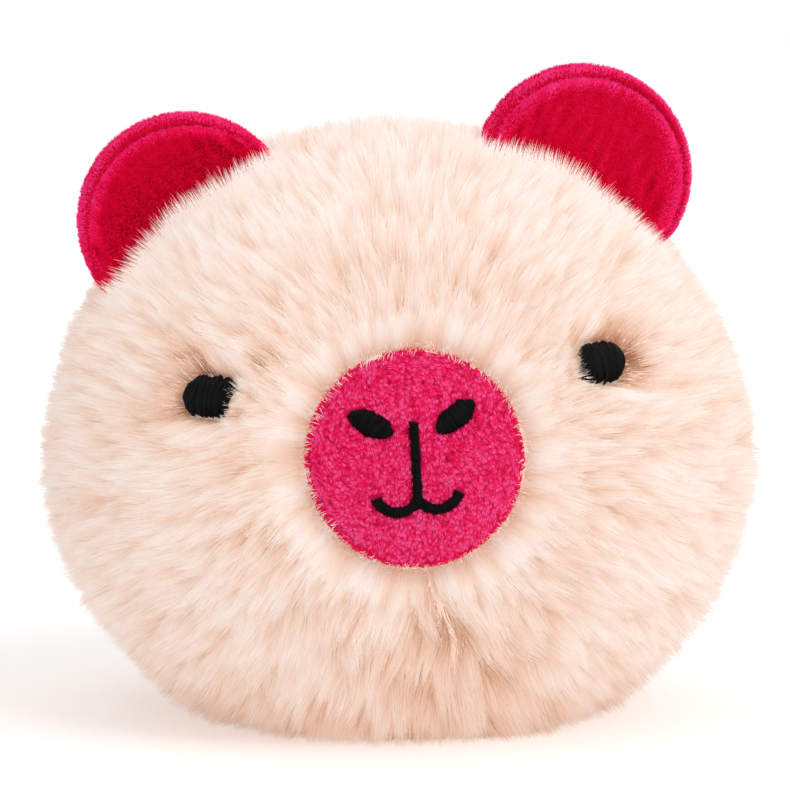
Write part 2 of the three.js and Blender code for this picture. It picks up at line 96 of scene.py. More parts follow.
# Fur
ROOT_DEPTH = 5.2  # roots below the tips of the fur
LOWEST_ROOT = 1.5  # above the floor
SKIN_DEPTH = 3.5  # woolly backing below the tips of the fur
SKIN_DIP = 1.6  # further in, under the muzzle and the eyes
SKIN_LUMPS = (0.25, 6, 11)  # size, wavelength and seed, as for all that wanders
SKIN_BASE = 1.2  # its flat base above the floor
SKIN_ROWS = 96
SKIN_COLUMNS = 192
HAIRS = 330000
UNDERCOAT = 0.35  # share of short hairs that fill between the tufts
UNDERCOAT_LENGTH = (0.55, 0.75)  # as shares of their guides
COAT_LENGTH = (0.86, 1.05)
RIM_HAIRS = 7000  # more of them round the muzzle
RIM_WIDTH = 1.6
RIM_INWARD = 0.2  # share of those that lean in over it
EYE_HAIRS = 1200  # and round each eye
EYE_RING = (1.05, 1.7)  # as shares of the eye's reach
BASE_HAIRS = 14000  # flattened ones that the toy sits on
BASE_INSET = 5.0  # of their patch from the base's edge
BASE_ROOT = 1.6  # height of their roots
BASE_LENGTH = (3, 5)
BASE_LEAN = math.radians(80)
BASE_SWIRL = (0.5, 14, 8)
BASE_LOOSE = 0.35
BASE_CURL = 0.15  # more lean at their tips
BASE_THICKNESS = 0.4  # of their layer on the floor
# painted shade: the hairs under the toy are darker
BASE_TINT = 0.5
BASE_TINTS = 0.1
TUFTS = 9000
CLUMPS = 1300
HAIR_JITTER = 0.5  # of their even spacing
TUFT_JITTER = 0.35
CLUMP_JITTER = 0.4
HAIR_SPREAD = {"loose": 0.12, "uneven": 0.08}  # of their lie and of their length
TUFT_SPREAD = {"loose": 0.2, "uneven": 0.15}
CLUMP_SPREAD = {"loose": 0.3, "uneven": 0.1}
FUR_LENGTH = 7.0
CHIN_LENGTH = 1.8  # longer under the muzzle
RIM_LENGTH = 6.2  # round the muzzle
EYE_LENGTH = 3.5  # where it would lie over an eye
CREASE_CUT = 0.55  # how much shorter it is in the crease at an eye
EAR_CUT = 0.1  # and before an ear
INWARD_LENGTH = 0.75  # share of it for hairs that lean in over the muzzle
LEAN_AT_ROOT = math.radians(14)
LEAN_AT_TIP = math.radians(66)
LEAN_SPREAD = (0.08, 0.09)  # at root and tip, in radians
INWARD_LEAN = 0.6  # share of the tip's lean for hairs that lean in over the muzzle
EYE_RAISED = (0.8, 0.45)  # how much less root and tip lean before an eye
RIM_RAISED = 0.1  # and the tip round the muzzle
TUFT_CLOSING = 0.55  # how far hairs close up towards their tuft's point
UNDER_CLOSING = 0.15  # and how far the undercoat does
CLUMP_CLOSING = 0.35  # how far tufts close up into clumps
TUFT_CURVE = 1.3  # how late along a hair it closes up into its tuft
CLUMP_CURVE = 1.5
RIM_APART = 0.5  # how much less hairs close up round the muzzle
EAR_APART = 0.75  # before an ear
EYE_APART = 0.85  # and round an eye
TUFT_REACH = 1.15
CLUMP_REACH = 3.0
FULL_EDGE = 1.5  # past a tuft's or a clump's edge, where its tint changes no more
TUFT_ROUND = 0.2  # how round a tuft is lit
TIP_SCATTER = 0.22
HAIR_RADII = np.array([0.052, 0.05])
STRANDS_IN_PIECE = 18500
FLOOR_GAP = 0.15
PALEST = 0.86  # of the fur's tints; those past it are pinker, with painted pink bounce light
FUR_TINT = 0.98  # as a share of that one, before what follows changes it
TINT_WAVE = (0.07, 9, 6)
TUFT_TINTS = 0.07  # spread between tufts
HAIR_TINTS = 0.05
UNDERCOAT_DARK = 0.16  # painted shade: how much darker it is, lying deeper in the pile
# painted shade of hairs whose roots are shaded
SHADE_DARK = 0.6
# Painted shade in the gaps at the edges of tufts and clumps
TUFT_EDGE_DARK = 0.25
CLUMP_EDGE_DARK = 0.08
CHIN_EDGE = 2  # times more of that under the chin
CROWN_LIGHT = 0.1  # painted light: how much paler the top of the head is
# Painted shade round the muzzle, stronger at the edges of tufts
CHEEK_DARK = 0.1
CHEEK_EDGE_DARK = 0.12
PINK_BOUNCE_SHARE = 0.45  # how far the fur beside pink plush takes on painted pink bounce light

# Lie of the fur. Heights and sides are from the muzzle's middle
NAP_TURN = (-8, 24)  # along the head's depth, from the face's lie to the back's
BACK_LIE = np.array([0.0, 0.5, -1.0])
BROAD_SWIRL = (0.22, 34, 3)
FINE_SWIRL = (0.16, 11, 4)
LENGTH_WAVE = (0.1, 16, 5)
LOW_FUR = (14, 2)  # heights above the floor, between which it comes to lean less
LOW_LEAN = 0.8 * LEAN_AT_TIP
PARTING_ASIDE = 0.3
PARTING_SLANT = 0.35
PARTING_TOP = -15
PARTING_RUN = 9
PARTED = (-12, -17), (-36, -24)  # heights that it starts between, and ends between
PARTING_REACH = 3.0
PARTING_TURN = 0.6

# Zones of the fur, as pairs of places that each changes between
RIM_ZONE = (0, 3.5)  # off the muzzle's rim
CHEEK_ZONE = (4, 16)
DIP_ZONE = (0, 4)
EYE_ZONE = (1.2, 2.4)  # from an eye's middle, as shares of its reach
EYE_PARTING_ZONE = (1.0, 2.2)
EYE_DIP_ZONE = (1, 1.8)
EYE_RISE_ZONE = (0.3, 0.9)  # above or below its middle, as shares of its half height
EYE_FRONT_ZONE = (0, 2.3)  # off its edge
CHIN_HEIGHTS = (-14, -22)  # from the muzzle's middle
CHIN_SIDES = (10, 24)
# Painted shade on the fur's roots, in the parting, under the chin and near the floor
DARK_PARTING = (-14, -16), (-28, -19)
DARK_PARTING_WIDTH = 1.6
DARK_CHIN = (-19, -24), (-34, -28)
DARK_CHIN_SIDES = (4, 16)
PARTING_DARK = 0.5  # painted shade: how dark the roots are there
CHIN_DARK = 0.25
LOW_DARK = 0.3
LOWEST_DARK = 0.4
DARK_LOW = (18, 3)  # above the floor
DARK_LOWEST = (4, 1.5)
# heights of the painted light on the crown
CROWN_LIGHT_ZONE = (58, 80)
CLUMPED = (4, 14)
BEFORE_EAR = (-12, -8)  # from an ear's fold line
BEFORE_EAR_SIDES = (15, 19)
PINK_OFF_RIM = 5.0  # how far pink shows on the fur off the muzzle's rim
PINK_BEFORE_EAR = 4.0  # place where it shows most before an ear
PINK_EAR_WIDTH = 6.0
PINK_EAR_SIDES = (10, 17)
RIM_INSIDE = 0.3  # how far inside the muzzle's rim fur starts
RIM_TOP_INSIDE = 0.4  # and further at its top
HELD_OFF = (0, 0.4)  # how far hairs are moved off an ear, from none to those lit most as its front
HELD_OFF_LIT = 1.5
BARE_EAR_SIDE = 14.0  # half width of the bare place under an ear
BARE_EAR_BELOW = 12.0
BARE_EAR_BACK = 1.2

# Eyes, satin patches pressed into the fur
EYE_BEHIND = 12.0  # how far behind an eye a place still counts as near it
EYE_HALF = np.array([3.8, 2.85])
EYE_CORNER = 1.9
EYE_TURN = {"left": math.radians(-12), "right": math.radians(-6)}
EYE_THREADS = 29
EYE_DEPTH = 3.0  # below the tips of the fur
EYE_SWELL = 0.35
EYE_STITCHED = 0.97  # share of its width between the first and last threads
EYE_UNEVEN = 0.15  # wave of the threads' middles, up and down
CREASE_TURN = math.radians(22)  # middle of the crease at an eye's outer side, above level
CREASE_WIDTH = 0.75  # as a share of the eye's reach
CREASE_ZONE = (-0.1, 0.75)  # from its ends to its middle, as cosines of the turn off it

# Muzzle
MUZZLE_BEHIND = 20.0
MUZZLE_RADIUS = 15.5
MUZZLE_DEPTH = 3.2  # plush backing below the tips of the fur
MUZZLE_UNDERSIDE = 6.6  # and its underside
MUZZLE_SWELL = 0.5
MUZZLE_EDGE = 0.3  # its backing past its rim, and its edge's threads inside it
MUZZLE_TUCK = 2.6  # how far its rim is tucked in
MUZZLE_TUCKED = (0.86, 1.03)  # shares of its radius that it is tucked in between
MUZZLE_ROWS = 26
MUZZLE_COLUMNS = 72
MUZZLE_LOOPS = 2700
STRANDS_IN_LOOP = 6
LOOP_LENGTH = 1.1
LOOP_HEIGHT = 0.75
LOOP_RADII = np.array([0.045, 0.055, 0.05])
LOOP_TURN = math.radians(-75)  # most loops lie nearly straight down
LOOP_SWIRL = (0.8, 13, 31)
LOOP_JITTER = 0.1
LOOP_LOOSE = 0.45  # spread of their lie
LOOP_LENGTHS = (0.8, 1.2)  # as shares of the length
LOOP_HEIGHTS = (0.7, 1.25)
LOOP_SPREAD = 0.12  # of a loop's strands beside it
LOOP_SUNK = 0.1  # ends of a loop in the backing
LOOP_MARGIN = 0.7  # of the rim, without loops
STITCH_MARGIN = 0.15  # beside the stitches, without loops
LOOP_TINT = 0.66
LOOP_TINT_WAVE = (0.12, 3, 32)
LOOP_TINTS = 0.19  # spread between loops
STRAND_TINTS = 0.12
GLINT_STRANDS = 0.06  # share of strands that are brighter, as painted glints
GLINT_BRIGHTER = 0.4
LOWER_LOOPS_LIT = 0.12  # painted light: how much paler the lower loops are
LOWER_LOOPS_LIT_ZONE = (2, -10)
EDGE_THREADS = 330
EDGE_HALF_WIDTH = (0.4, 0.6)
EDGE_DEPTH = MUZZLE_DEPTH + 2.4
EDGE_ARCH = 0.7
EDGE_SKEW = 0.02  # turn of a thread from its middle to its end
EDGE_TURNS = 0.002  # spread of their turns
EDGE_LAYERS = 0.04  # spread of their depths
EDGE_TINTS = (0.3, 0.6)
EDGE_RADII = np.array([0.1, 0.15, 0.16, 0.16, 0.13])

# Embroidery, from the muzzle's middle. Those with two sides are given for the picture's right
THREAD_ACROSS = np.array([-1, -0.94, -0.6, -0.2, 0.2, 0.6, 0.94, 1])  # places along a thread
THREAD_RADII = np.array([0.12, 0.2, 0.22, 0.22, 0.22, 0.22, 0.2])
THREAD_SLIP = 0.05  # unevenness of threads, as a share of their half length
THREAD_LAYERS = 0.06  # unevenness of their height
THREAD_SKEW = 0.12  # of a thread's end along its line
THREAD_PULL = 0.75  # how far its ends are pulled down
FULL_ARCH = 0.5  # half length from which a thread arches fully
MUZZLE_ARCH = 0.55  # height of that arch
EYE_ARCH = 0.5
THREAD_TINTS = (0.2, 0.9)
STITCHES_ABOVE = 0.5  # the muzzle's backing
NOSTRIL_PLACE = (5.95, 5.3)
NOSTRIL_HALF = (3.1, 1.75)
NOSTRIL_SLANT = math.radians(31)
NOSTRIL_THREADS = 18
MOUTH_ASIDE = 2.8
MOUTH_SHIFT = -0.3
MOUTH_HEIGHT = -4.1
MOUTH_RADIUS = 3.25
MOUTH_TURNS = (math.radians(-152), math.radians(-22))
MOUTH_HALF_WIDTH = 0.7
MOUTH_THREADS = 21
PHILTRUM_HEIGHTS = (4.9, -6.0)
PHILTRUM_HALF_WIDTH = 0.6
PHILTRUM_THREADS = 30

# Ears
EAR_BEHIND = 16.0  # how far below its fold line a place still counts as near it
EAR_RADIUS = 16.2  # over its pile
EAR_GROWTH = 1.025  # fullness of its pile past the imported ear
EAR_FOOT = 0.65  # height of its lower half as a share of a round one's
EAR_SLIDE = {"left": -0.4, "right": 0.3}  # along its fold line, as sewn by hand
EAR_SECTION = np.array([
    (0.0, -1.1), (5.0, -1.3), (9.5, -1.8), (12.3, -2.6), (13.4, -2.3), (13.9, -1.3),
    (14.3, -2.1), (14.8, -2.2), (15.3, -1.3), (15.5, 0.0), (15.2, 1.3), (14.2, 2.1),
    (11.5, 2.5), (7.0, 2.5), (0.0, 2.3),
])  # radius and place through its thickness, from the front's middle to the back's
EAR_FRONT_POINTS = 4  # of the section, up to the seam's hollow
EAR_SEAM_POINT = 5
EAR_STEPS = 5  # between two points of the section
EAR_COLUMNS = 112
EAR_SEAM_RADIUS = 13.9
EAR_SEAM_SHIFT = 0.6  # seam's ring off the rim's ring, down and to the picture's right
EAR_SEAM_SHIFT_TURN = {"left": math.radians(-88), "right": math.radians(-16)}
EAR_SHIFT_WIDTH = 2.2  # of what moves with the seam
EAR_DENT = 0.2  # of the seam's stitches
EAR_DENT_WIDTH = 0.8
EAR_WAVE = 0.25  # of its rim, out of flat
EAR_INSIDE = {
    "front": [(EAR_SEAM_RADIUS - 0.6, -0.5), (0.0, -0.4)],
    "back": [(0.0, 0.9), (11.5, 0.9), (EAR_SEAM_RADIUS + 0.3, -0.6)],
}  # inner sides of its two sheets, as points of the section
EAR_HAIRS = 18000  # on each side of an ear
EAR_PILE = 0.7
EAR_LEAN = 0.25  # at a root
EAR_SWIRL = (0.5, 7, 21)
EAR_STREAKS = (0.14, 3, 22)
EAR_LOOSE = 0.25  # spread of the pile's lie
EAR_TURNS = 0.35
EAR_LENGTHS = (0.8, 1.2)  # as shares of the pile
EAR_RIM_CUT = 0.3  # how much shorter the pile is at the rim
EAR_RIM_ZONE = (13, 15)
EAR_CURL = 2.4  # lean at a tip, as a share of that at its root
EAR_SUNK = 0.1  # roots of the pile in its sheet
EAR_FACED = 0.7  # how far the front's pile is lit as facing forwards
EAR_ROUND = 0.9  # how far the rim's pile is lit as facing outwards
EAR_ROUND_ZONE = (12, 15)
EAR_BACK = 1.0  # place through the thickness from which pile is on the back
EAR_BAND = (EAR_SEAM_RADIUS - 2.5, EAR_SEAM_RADIUS - 0.8)  # painted highlight on the rolled band inside the seam
EAR_BAND_HIGHLIGHT = 0.4
EAR_STREAK_SCALE = np.array([2.2, 0.0, 0.5])  # streaks are narrow and run up the ear
EAR_HAIR_TINTS = 0.1
EAR_SHADE_ZONE = (0, 10)  # above the fur
SECTION_SAMPLES = 400  # along a section, to spread the pile evenly over it
EAR_SHOWN = (math.radians(-40), math.radians(220))  # of its turn, what the head doesn't hide
EAR_RADII = np.array([0.055, 0.05])
EAR_STITCH_PITCH = 1.5
EAR_STITCHES = round(2 * math.pi * EAR_SEAM_RADIUS / EAR_STITCH_PITCH)  # in a full turn
EAR_STITCH_HALF = 0.36  # of a stitch, as a share of the pitch
EAR_STITCH_PLACE = -1.32  # through the ear's thickness
EAR_STITCH_ARCH = 0.12
EAR_STITCH_TINTS = (0.3, 0.8)
EAR_STITCH_LOWEST = -0.3  # sine of the lowest one's turn
EAR_STITCH_RADII = np.array([0.1, 0.15, 0.16, 0.15])
EAR_SHADE = {"left": 0.34, "right": 0.12}  # painted shade: how much darker the plush is at the foot of each, more on the left, away from the key lamp
EAR_FRONT_LIT_TINT = {"left": 0.29, "right": 0.44}  # painted light: the left ear's front is darker, away from the key lamp
# painted light: the rim is paler than the ears' fronts
EAR_BACK_LIT_TINT = 0.6

# Camera and light
PHOTO_SIDE = 790  # pixels
PHOTO_PIXEL = 0.15  # millimetres at the head's middle
HEAD_MIDDLE_PIXEL = (399, 455)
VIEW_AZIMUTH = math.radians(-3.6)
VIEW_ELEVATION = math.radians(6.3)
VIEW_DISTANCE = 620.0
AMBIENT = 0.5  # the world's light
FLOOR_HALF = 3000.0
FLOOR_GLOW = {"From Min": 0.08, "From Max": 0.5, "To Min": 0.05, "To Max": 0.6}  # by metres from the head


# Small helpers


def unit(vectors):
    return vectors / np.linalg.norm(vectors, axis=-1, keepdims=True)


def ramp(low, high, values):
    """A smooth step, from 0 at low to 1 at high."""
    t = np.clip((values - low) / (high - low), 0, 1)
    return t * t * (3 - 2 * t)


def mix(a, b, share):
    return a + (b - a) * share


def dot(a, b):
    return np.sum(a * b, axis=-1, keepdims=True)


def laid(vectors, normals):
    """Directions laid along the surface that has these normals."""
    return unit(vectors - normals * dot(vectors, normals))


def turned(vectors, normals, angle):
    return vectors * np.cos(angle)[:, None] + np.cross(normals, vectors) * np.sin(angle)[:, None]


def bell(values, width):
    """1 at 0, falling to 0 on both sides."""
    return np.exp(-((values / width) ** 2))


def band(values, start, end):
    """1 in a band, with a smooth start and end."""
    return ramp(*start, values) * ramp(*end, values)


def full_turn(count):
    """Angles of a full turn in equal steps."""
    return 2 * math.pi * np.arange(count) / count


def wander(points, size, wavelength, seed):
    """A smooth random value at each point, up to about a size either way."""
    waves = np.random.default_rng(seed)
    directions = unit(waves.normal(size=(6, 3))) * 2 * math.pi / wavelength
    phases = waves.uniform(0, 2 * math.pi, 6)
    return size * (np.sin(points @ directions.T + phases).sum(axis=1) / 3)


# Head shape


def axes_for(directions, depth):
    tall = np.where(directions[:, 2] > 0, TOP - WIDEST, LOWER_HEIGHT)
    wide = np.full_like(tall, HALF_WIDTH)
    long = np.full_like(tall, HALF_DEPTH)
    return np.stack([wide, long, tall], axis=1) - depth


def on_head(directions, depth):
    """Points and normals of the head at a depth below the tips of the fur."""
    axes = axes_for(directions, depth)
    return MIDDLE + directions * axes, unit(directions / axes)


def directions_to(points, depth):
    """Directions for which the head at a depth passes through these points."""
    rays = points - MIDDLE
    return unit(rays / axes_for(rays, depth))


def spread_directions(count, jitter):
    """Directions spread evenly over a ball, each moved a little at random."""
    i = np.arange(count) + 0.5
    z = 1 - 2 * i / count
    turn = GOLDEN_TURN * i
    level = np.sqrt(1 - z * z)
    even = np.stack([level * np.cos(turn), level * np.sin(turn), z], axis=1)
    step = math.sqrt(4 * math.pi / count)
    return unit(even + random.normal(0, jitter * step, even.shape))


class Spot:
    """A place on the head's face, with axes to its right, up and out."""

    def __init__(self, node, behind, turn=0.0):
        low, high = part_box(node)
        ray = np.array((low + high) / 2) / MM - MIDDLE
        axes = axes_for(ray[None], 0)[0]
        ray /= np.linalg.norm(ray / axes)
        self.behind = behind
        self.point = MIDDLE + ray
        self.out = unit(ray / axes**2)
        lean = HEAD_ROLL + turn
        up = np.array([-math.sin(lean), 0, math.cos(lean)])
        self.right = unit(np.cross(up, self.out))
        self.up = np.cross(self.out, self.right)

    def local(self, points):
        """Right, up and out coordinates of points."""
        return (points - self.point) @ np.stack([self.right, self.up, self.out], axis=1)

    def surface(self, x, y, depth):
        """Points at a depth below the tips of the fur, over local places on this spot."""
        start = self.point + np.multiply.outer(x, self.right) + np.multiply.outer(y, self.up)
        flat = start.reshape(-1, 3) - MIDDLE
        depths = np.broadcast_to(depth, np.shape(x)).reshape(-1, 1)
        axes = axes_for(flat, 0) - depths
        p = flat / axes
        d = -self.out / axes
        half = np.sum(p * d, axis=1) / np.sum(d * d, axis=1)
        rest = (np.sum(p * p, axis=1) - 1) / np.sum(d * d, axis=1)
        along = -half - np.sqrt(np.maximum(half**2 - rest, 0))
        return (flat - along[:, None] * self.out + MIDDLE).reshape(start.shape)


class EarPlace:
    """An ear's own axes: along its fold line, back, and out of the head."""

    def __init__(self, side):
        joint = next(j for j in frame["joints"] if j["name"] == f"{side}_ear_fold")
        self.side = side
        self.behind = EAR_BEHIND
        self.fold = np.array(joint["pos_m"]) / MM
        self.along = unit(np.array(joint["axis"]))
        self.back = np.array([0.0, 1.0, 0.0])
        self.out = np.cross(self.along, self.back)
        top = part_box(f"ear_{side}_back_panel")[1].z / MM
        self.drop = (self.fold[2] + EAR_RADIUS - top) / self.out[2]  # disc's middle below the fold line

    def world(self, points):
        return self.fold + points @ np.stack([self.along, self.back, self.out])

    def local(self, points):
        return (points - self.fold) @ np.stack([self.along, self.back, self.out], axis=1)


muzzle = Spot("muzzle_panel", MUZZLE_BEHIND)
eyes = {side: Spot(f"eye_{side}", EYE_BEHIND, turn) for side, turn in EYE_TURN.items()}
ears = {side: EarPlace(side) for side in ("left", "right")}


def most_at(places, points, measure):
    """The most that measure(place, local points) gives at any of these places, and 0 far behind them."""
    most = np.zeros(len(points))
    for place in places:
        local = place.local(points)
        most = np.maximum(most, np.where(local[:, 2] > -place.behind, measure(place, local), 0))
    return most


def rim_gap(local):
    """Distance outside the muzzle's rim."""
    return np.hypot(local[:, 0], local[:, 1]) - MUZZLE_RADIUS


def near_muzzle(points, start, end):
    """1 on the muzzle and close to it, falling to 0 between two distances from its rim."""
    return most_at([muzzle], points, lambda place, local: 1 - ramp(start, end, rim_gap(local)))


def eye_reach(local):
    """Distance from an eye's middle, as a share of its own reach that way. Its outline has round corners."""
    return np.sum(np.abs(local[:, :2] / EYE_HALF) ** 3, axis=1) ** (1 / 3)


def near_eyes(points, start, end):
    """1 on the eyes and close to them, falling to 0 between two shares of an eye's reach."""
    return most_at(eyes.values(), points, lambda place, local: 1 - ramp(start, end, eye_reach(local)))


# Meshes


def placed(name, data):
    """A new object in the scene."""
    thing = bpy.data.objects.new(name, data)
    bpy.context.scene.collection.objects.link(thing)
    return thing


def finish_mesh(mesh, material, body=None, sheer=False):
    """Makes a piece of a mesh. A sheer pile is of clear fibres, which let all light past them."""
    mesh.materials.append(material)
    piece = placed(mesh.name, mesh)
    piece.visible_shadow = not sheer
    piece.visible_diffuse = not sheer
    if body is not None:
        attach(piece, body)
    return piece


def mesh_from(name, points, faces):
    """A mesh from points in millimetres and a list of faces."""
    mesh = bpy.data.meshes.new(name)
    mesh.from_pydata((points * MM).tolist(), [], faces)
    mesh.shade_smooth()
    return mesh


def wall_faces(rings, sides):
    """Corner numbers of the walls between closed rings of corners."""
    walls = []
    for j in range(rings - 1):
        for i in range(sides):
            k = (i + 1) % sides
            walls.append((j * sides + i, j * sides + k, (j + 1) * sides + k, (j + 1) * sides + i))
    return walls


def fan_faces(middle, first, sides):
    """Triangles from a middle point to a ring of corners that starts at first."""
    return [(middle, first + i, first + (i + 1) % sides) for i in range(sides)]


def flipped(faces):
    """The same faces, seen from their other side."""
    return [(face[0], *face[:0:-1]) for face in faces]


def tube_faces(rings, sides):
    """Corner numbers of one closed tapering tube: walls, a point at its end and a cap at its start."""
    tip = rings * sides
    point = [(tip - sides + i, tip - sides + (i + 1) % sides, tip) for i in range(sides)]
    return wall_faces(rings, sides) + point + [tuple(range(sides))[::-1]]


def tube_mesh(name, paths, radii, tints, sides):
    """Many thin round threads in one mesh, with a radius for each step of their paths but the tip."""
    heading = unit(np.gradient(paths, axis=1))[:, :-1]
    side = unit(np.cross(heading[:, :1], random.normal(size=(len(paths), 1, 3))))
    across = laid(side, heading)
    over = np.cross(heading, across)
    angles = full_turn(sides)
    around = across[:, :, None] * np.cos(angles)[:, None] + over[:, :, None] * np.sin(angles)[:, None]
    corners = paths[:, :-1, None] + around * radii[:, None, None]
    return strand_mesh(name, corners, paths[:, -1], tints)


def pile_mesh(name, paths, radii, tints, facing, shades=None):
    """Many fine hairs in one mesh: blades with their broad sides out of the pile, lit mostly as the pile.
    facing has a direction out of the pile for each hair, and shades how dark its root is, from 0 to 1."""
    heading = unit(np.gradient(paths, axis=1))[:, :-1]
    out = facing[:, None]
    lying = np.sqrt(np.maximum(1 - dot(heading, out) ** 2, 0))
    twist = random.normal(0, BLADE_TWIST, (len(paths), 1, 3)) * lying
    across = unit(np.cross(out + twist, heading))
    over = np.cross(heading, across)
    around = np.stack([across, -across, -BLADE_KEEL * over], axis=2)
    corners = paths[:, :-1, None] + around * radii[:, None, None]
    mesh = strand_mesh(name, corners, paths[:, -1], tints, shades)
    side = mix(out, over, BLADE_SIDE)
    bulge = mix(UPRIGHT_ROUND, BLADE_ROUND, ramp(*LYING, lying)) * across
    light_blades(mesh, np.stack([side + bulge, side - bulge, side], axis=2), heading - over)
    return mesh


def light_blades(mesh, above, below):
    """Gives each blade its normals: above for the corners of its broad side, below for the rest of it."""
    count, rings = below.shape[:2]
    tip = rings * BLADE_CORNERS
    above = np.concatenate([above.reshape(count, tip, 3), above[:, -1:, KEEL]], axis=1)
    below = np.concatenate([np.repeat(below, BLADE_CORNERS, axis=1), below[:, -1:]], axis=1)
    faces = tube_faces(rings, BLADE_CORNERS)
    order = np.concatenate(faces)
    broad = np.concatenate([[all(c % BLADE_CORNERS < KEEL for c in face)] * len(face) for face in faces])
    lit = np.where(broad[:, None], above[:, order], below[:, order])
    normals = mesh.attributes.new("custom_normal", "FLOAT_VECTOR", "CORNER")
    normals.data.foreach_set("vector", unit(lit).astype(np.float32).ravel())

    # Sharp edges round the broad side keep its normals apart from the others.
    ends = np.empty(2 * len(mesh.edges), dtype=np.int32)
    mesh.edges.foreach_get("vertices", ends)
    low, high = np.sort(ends.reshape(-1, 2) % (tip + 1), axis=1).T
    along = (low % BLADE_CORNERS < KEEL) & ((high == low + BLADE_CORNERS) | (high == tip))
    sharp = mesh.attributes.new("sharp_edge", "BOOLEAN", "EDGE")
    sharp.data.foreach_set("value", along | ((low == 0) & (high == 1)))


def strand_mesh(name, corners, tips, tints, shades=None):
    """One mesh of many closed strands, from each one's rings of corners and its tip."""
    count, rings, sides, _ = corners.shape
    points = np.concatenate([corners.reshape(count, rings * sides, 3), tips[:, None]], axis=1)
    each = points.shape[1]
    faces = tube_faces(rings, sides)
    order = np.concatenate(faces)
    lengths = np.array([len(f) for f in faces])
    loops = (order[None] + each * np.arange(count)[:, None]).ravel()
    starts = np.concatenate([[0], np.cumsum(lengths)[:-1]])
    starts = (starts[None] + len(order) * np.arange(count)[:, None]).ravel()

    mesh = bpy.data.meshes.new(name)
    mesh.vertices.add(count * each)
    mesh.vertices.foreach_set("co", (points * MM).astype(np.float32).ravel())
    mesh.loops.add(len(loops))
    mesh.loops.foreach_set("vertex_index", loops.astype(np.int32))
    mesh.polygons.add(len(starts))
    mesh.polygons.foreach_set("loop_start", starts.astype(np.int32))
    mesh.update(calc_edges=True)

    # The map's first number is the hair's tint and its second runs from root to tip, whose dark start is
    # painted shade; a shaded hair starts further into it and stops short of the pale tip.
    end = 1 - MAP_MARGIN
    along = np.append(np.repeat(np.arange(rings) / rings, sides), 1)
    drawn_apart = np.append(np.tile(np.linspace(-1, 1, sides), rings), 0) * MAP_WIDTH
    raised = np.append(np.tile(np.arange(sides) % 2, rings), 0) * MAP_RISE
    u = np.clip(tints, MAP_MARGIN, end)[:, None] + drawn_apart
    if shades is None:
        v = end * along + raised
    else:
        start = ROOT_PLACE * (1 - shades[:, None])
        v = start + (end - SHADED_TIP * shades[:, None] - start) * along + raised
    places = np.stack([u, np.broadcast_to(v, u.shape)], axis=2).reshape(-1, 2)
    layer = mesh.uv_layers.new(name="OFBake")
    layer.data.foreach_set("uv", places[loops].astype(np.float32).ravel())
    return mesh


# Materials


def new_material(name, roughness, specular):
    material = bpy.data.materials.new(name)
    material.use_nodes = True
    shader = material.node_tree.nodes["Principled BSDF"]
    shader.inputs["Roughness"].default_value = roughness
    shader.inputs["Specular IOR Level"].default_value = specular
    return material, material.node_tree, shader


def colour_ramp(tree, stops):
    node = tree.nodes.new("ShaderNodeValToRGB")
    elements = node.color_ramp.elements
    while len(elements) < len(stops):
        elements.new(0.5)
    for element, (place, colour) in zip(elements, stops):
        element.position = place
        element.color = (*colour, 1)
    return node


def fibre_material(name, tints, along, roughness, specular):
    """Hairs with a colour for each hair's tint, times a colour from root to tip."""
    material, tree, shader = new_material(name, roughness, specular)
    place = tree.nodes.new("ShaderNodeUVMap")
    place.uv_map = "OFBake"
    parts = tree.nodes.new("ShaderNodeSeparateXYZ")
    tree.links.new(place.outputs["UV"], parts.inputs[0])
    product = tree.nodes.new("ShaderNodeMix")
    product.data_type = "RGBA"
    product.blend_type = "MULTIPLY"
    product.inputs["Factor"].default_value = 1
    colour_inputs = [s for s in product.inputs if s.type == "RGBA"]
    for socket, axis, stops in zip(colour_inputs, "XY", (tints, along)):
        colours = colour_ramp(tree, stops)
        tree.links.new(parts.outputs[axis], colours.inputs["Fac"])
        tree.links.new(colours.outputs["Color"], socket)
    result = next(s for s in product.outputs if s.type == "RGBA")
    tree.links.new(result, shader.inputs["Base Color"])
    return material


def cloth_material(name, dark, pale, scale, roughness, bump):
    """Knitted backing: a fine mottle of two colours, with a matching bump."""
    material, tree, shader = new_material(name, roughness, specular=0.0)
    place = tree.nodes.new("ShaderNodeTexCoord")
    noise = tree.nodes.new("ShaderNodeTexNoise")
    noise.inputs["Scale"].default_value = scale
    noise.inputs["Detail"].default_value = 4
    tree.links.new(place.outputs["Object"], noise.inputs["Vector"])
    colours = colour_ramp(tree, [(0.3, dark), (0.7, pale)])
    tree.links.new(noise.outputs["Fac"], colours.inputs["Fac"])
    tree.links.new(colours.outputs["Color"], shader.inputs["Base Color"])
    relief = tree.nodes.new("ShaderNodeBump")
    relief.inputs["Strength"].default_value = bump
    relief.inputs["Distance"].default_value = 0.0004
    tree.links.new(noise.outputs["Fac"], relief.inputs["Height"])
    tree.links.new(relief.outputs["Normal"], shader.inputs["Normal"])
    return material


def cream_fur():
    # Tints: the low ones are painted shade, for the crease, the parting, the gaps and the floor; the last
    # stop is pink bounce light painted beside pink plush.
    tints = [
        (0.0, (0.42, 0.22, 0.14)),
        (0.4 * PALEST, (0.86, 0.60, 0.46)),
        (0.8 * PALEST, (0.95, 0.80, 0.72)),
        (PALEST, (0.965, 0.885, 0.845)),
        (1.0, (0.94, 0.78, 0.76)),
    ]
    # From root to tip: the darker roots are painted shade deep in the pile.
    along = [
        (0.0, (0.26, 0.13, 0.085)),
        (ROOT_PLACE, (0.78, 0.55, 0.44)),
        (0.58, (0.93, 0.81, 0.745)),
        (0.92, (1.0, 1.0, 1.0)),
    ]
    return fibre_material("cream_fur", tints, along, roughness=0.85, specular=0.0)


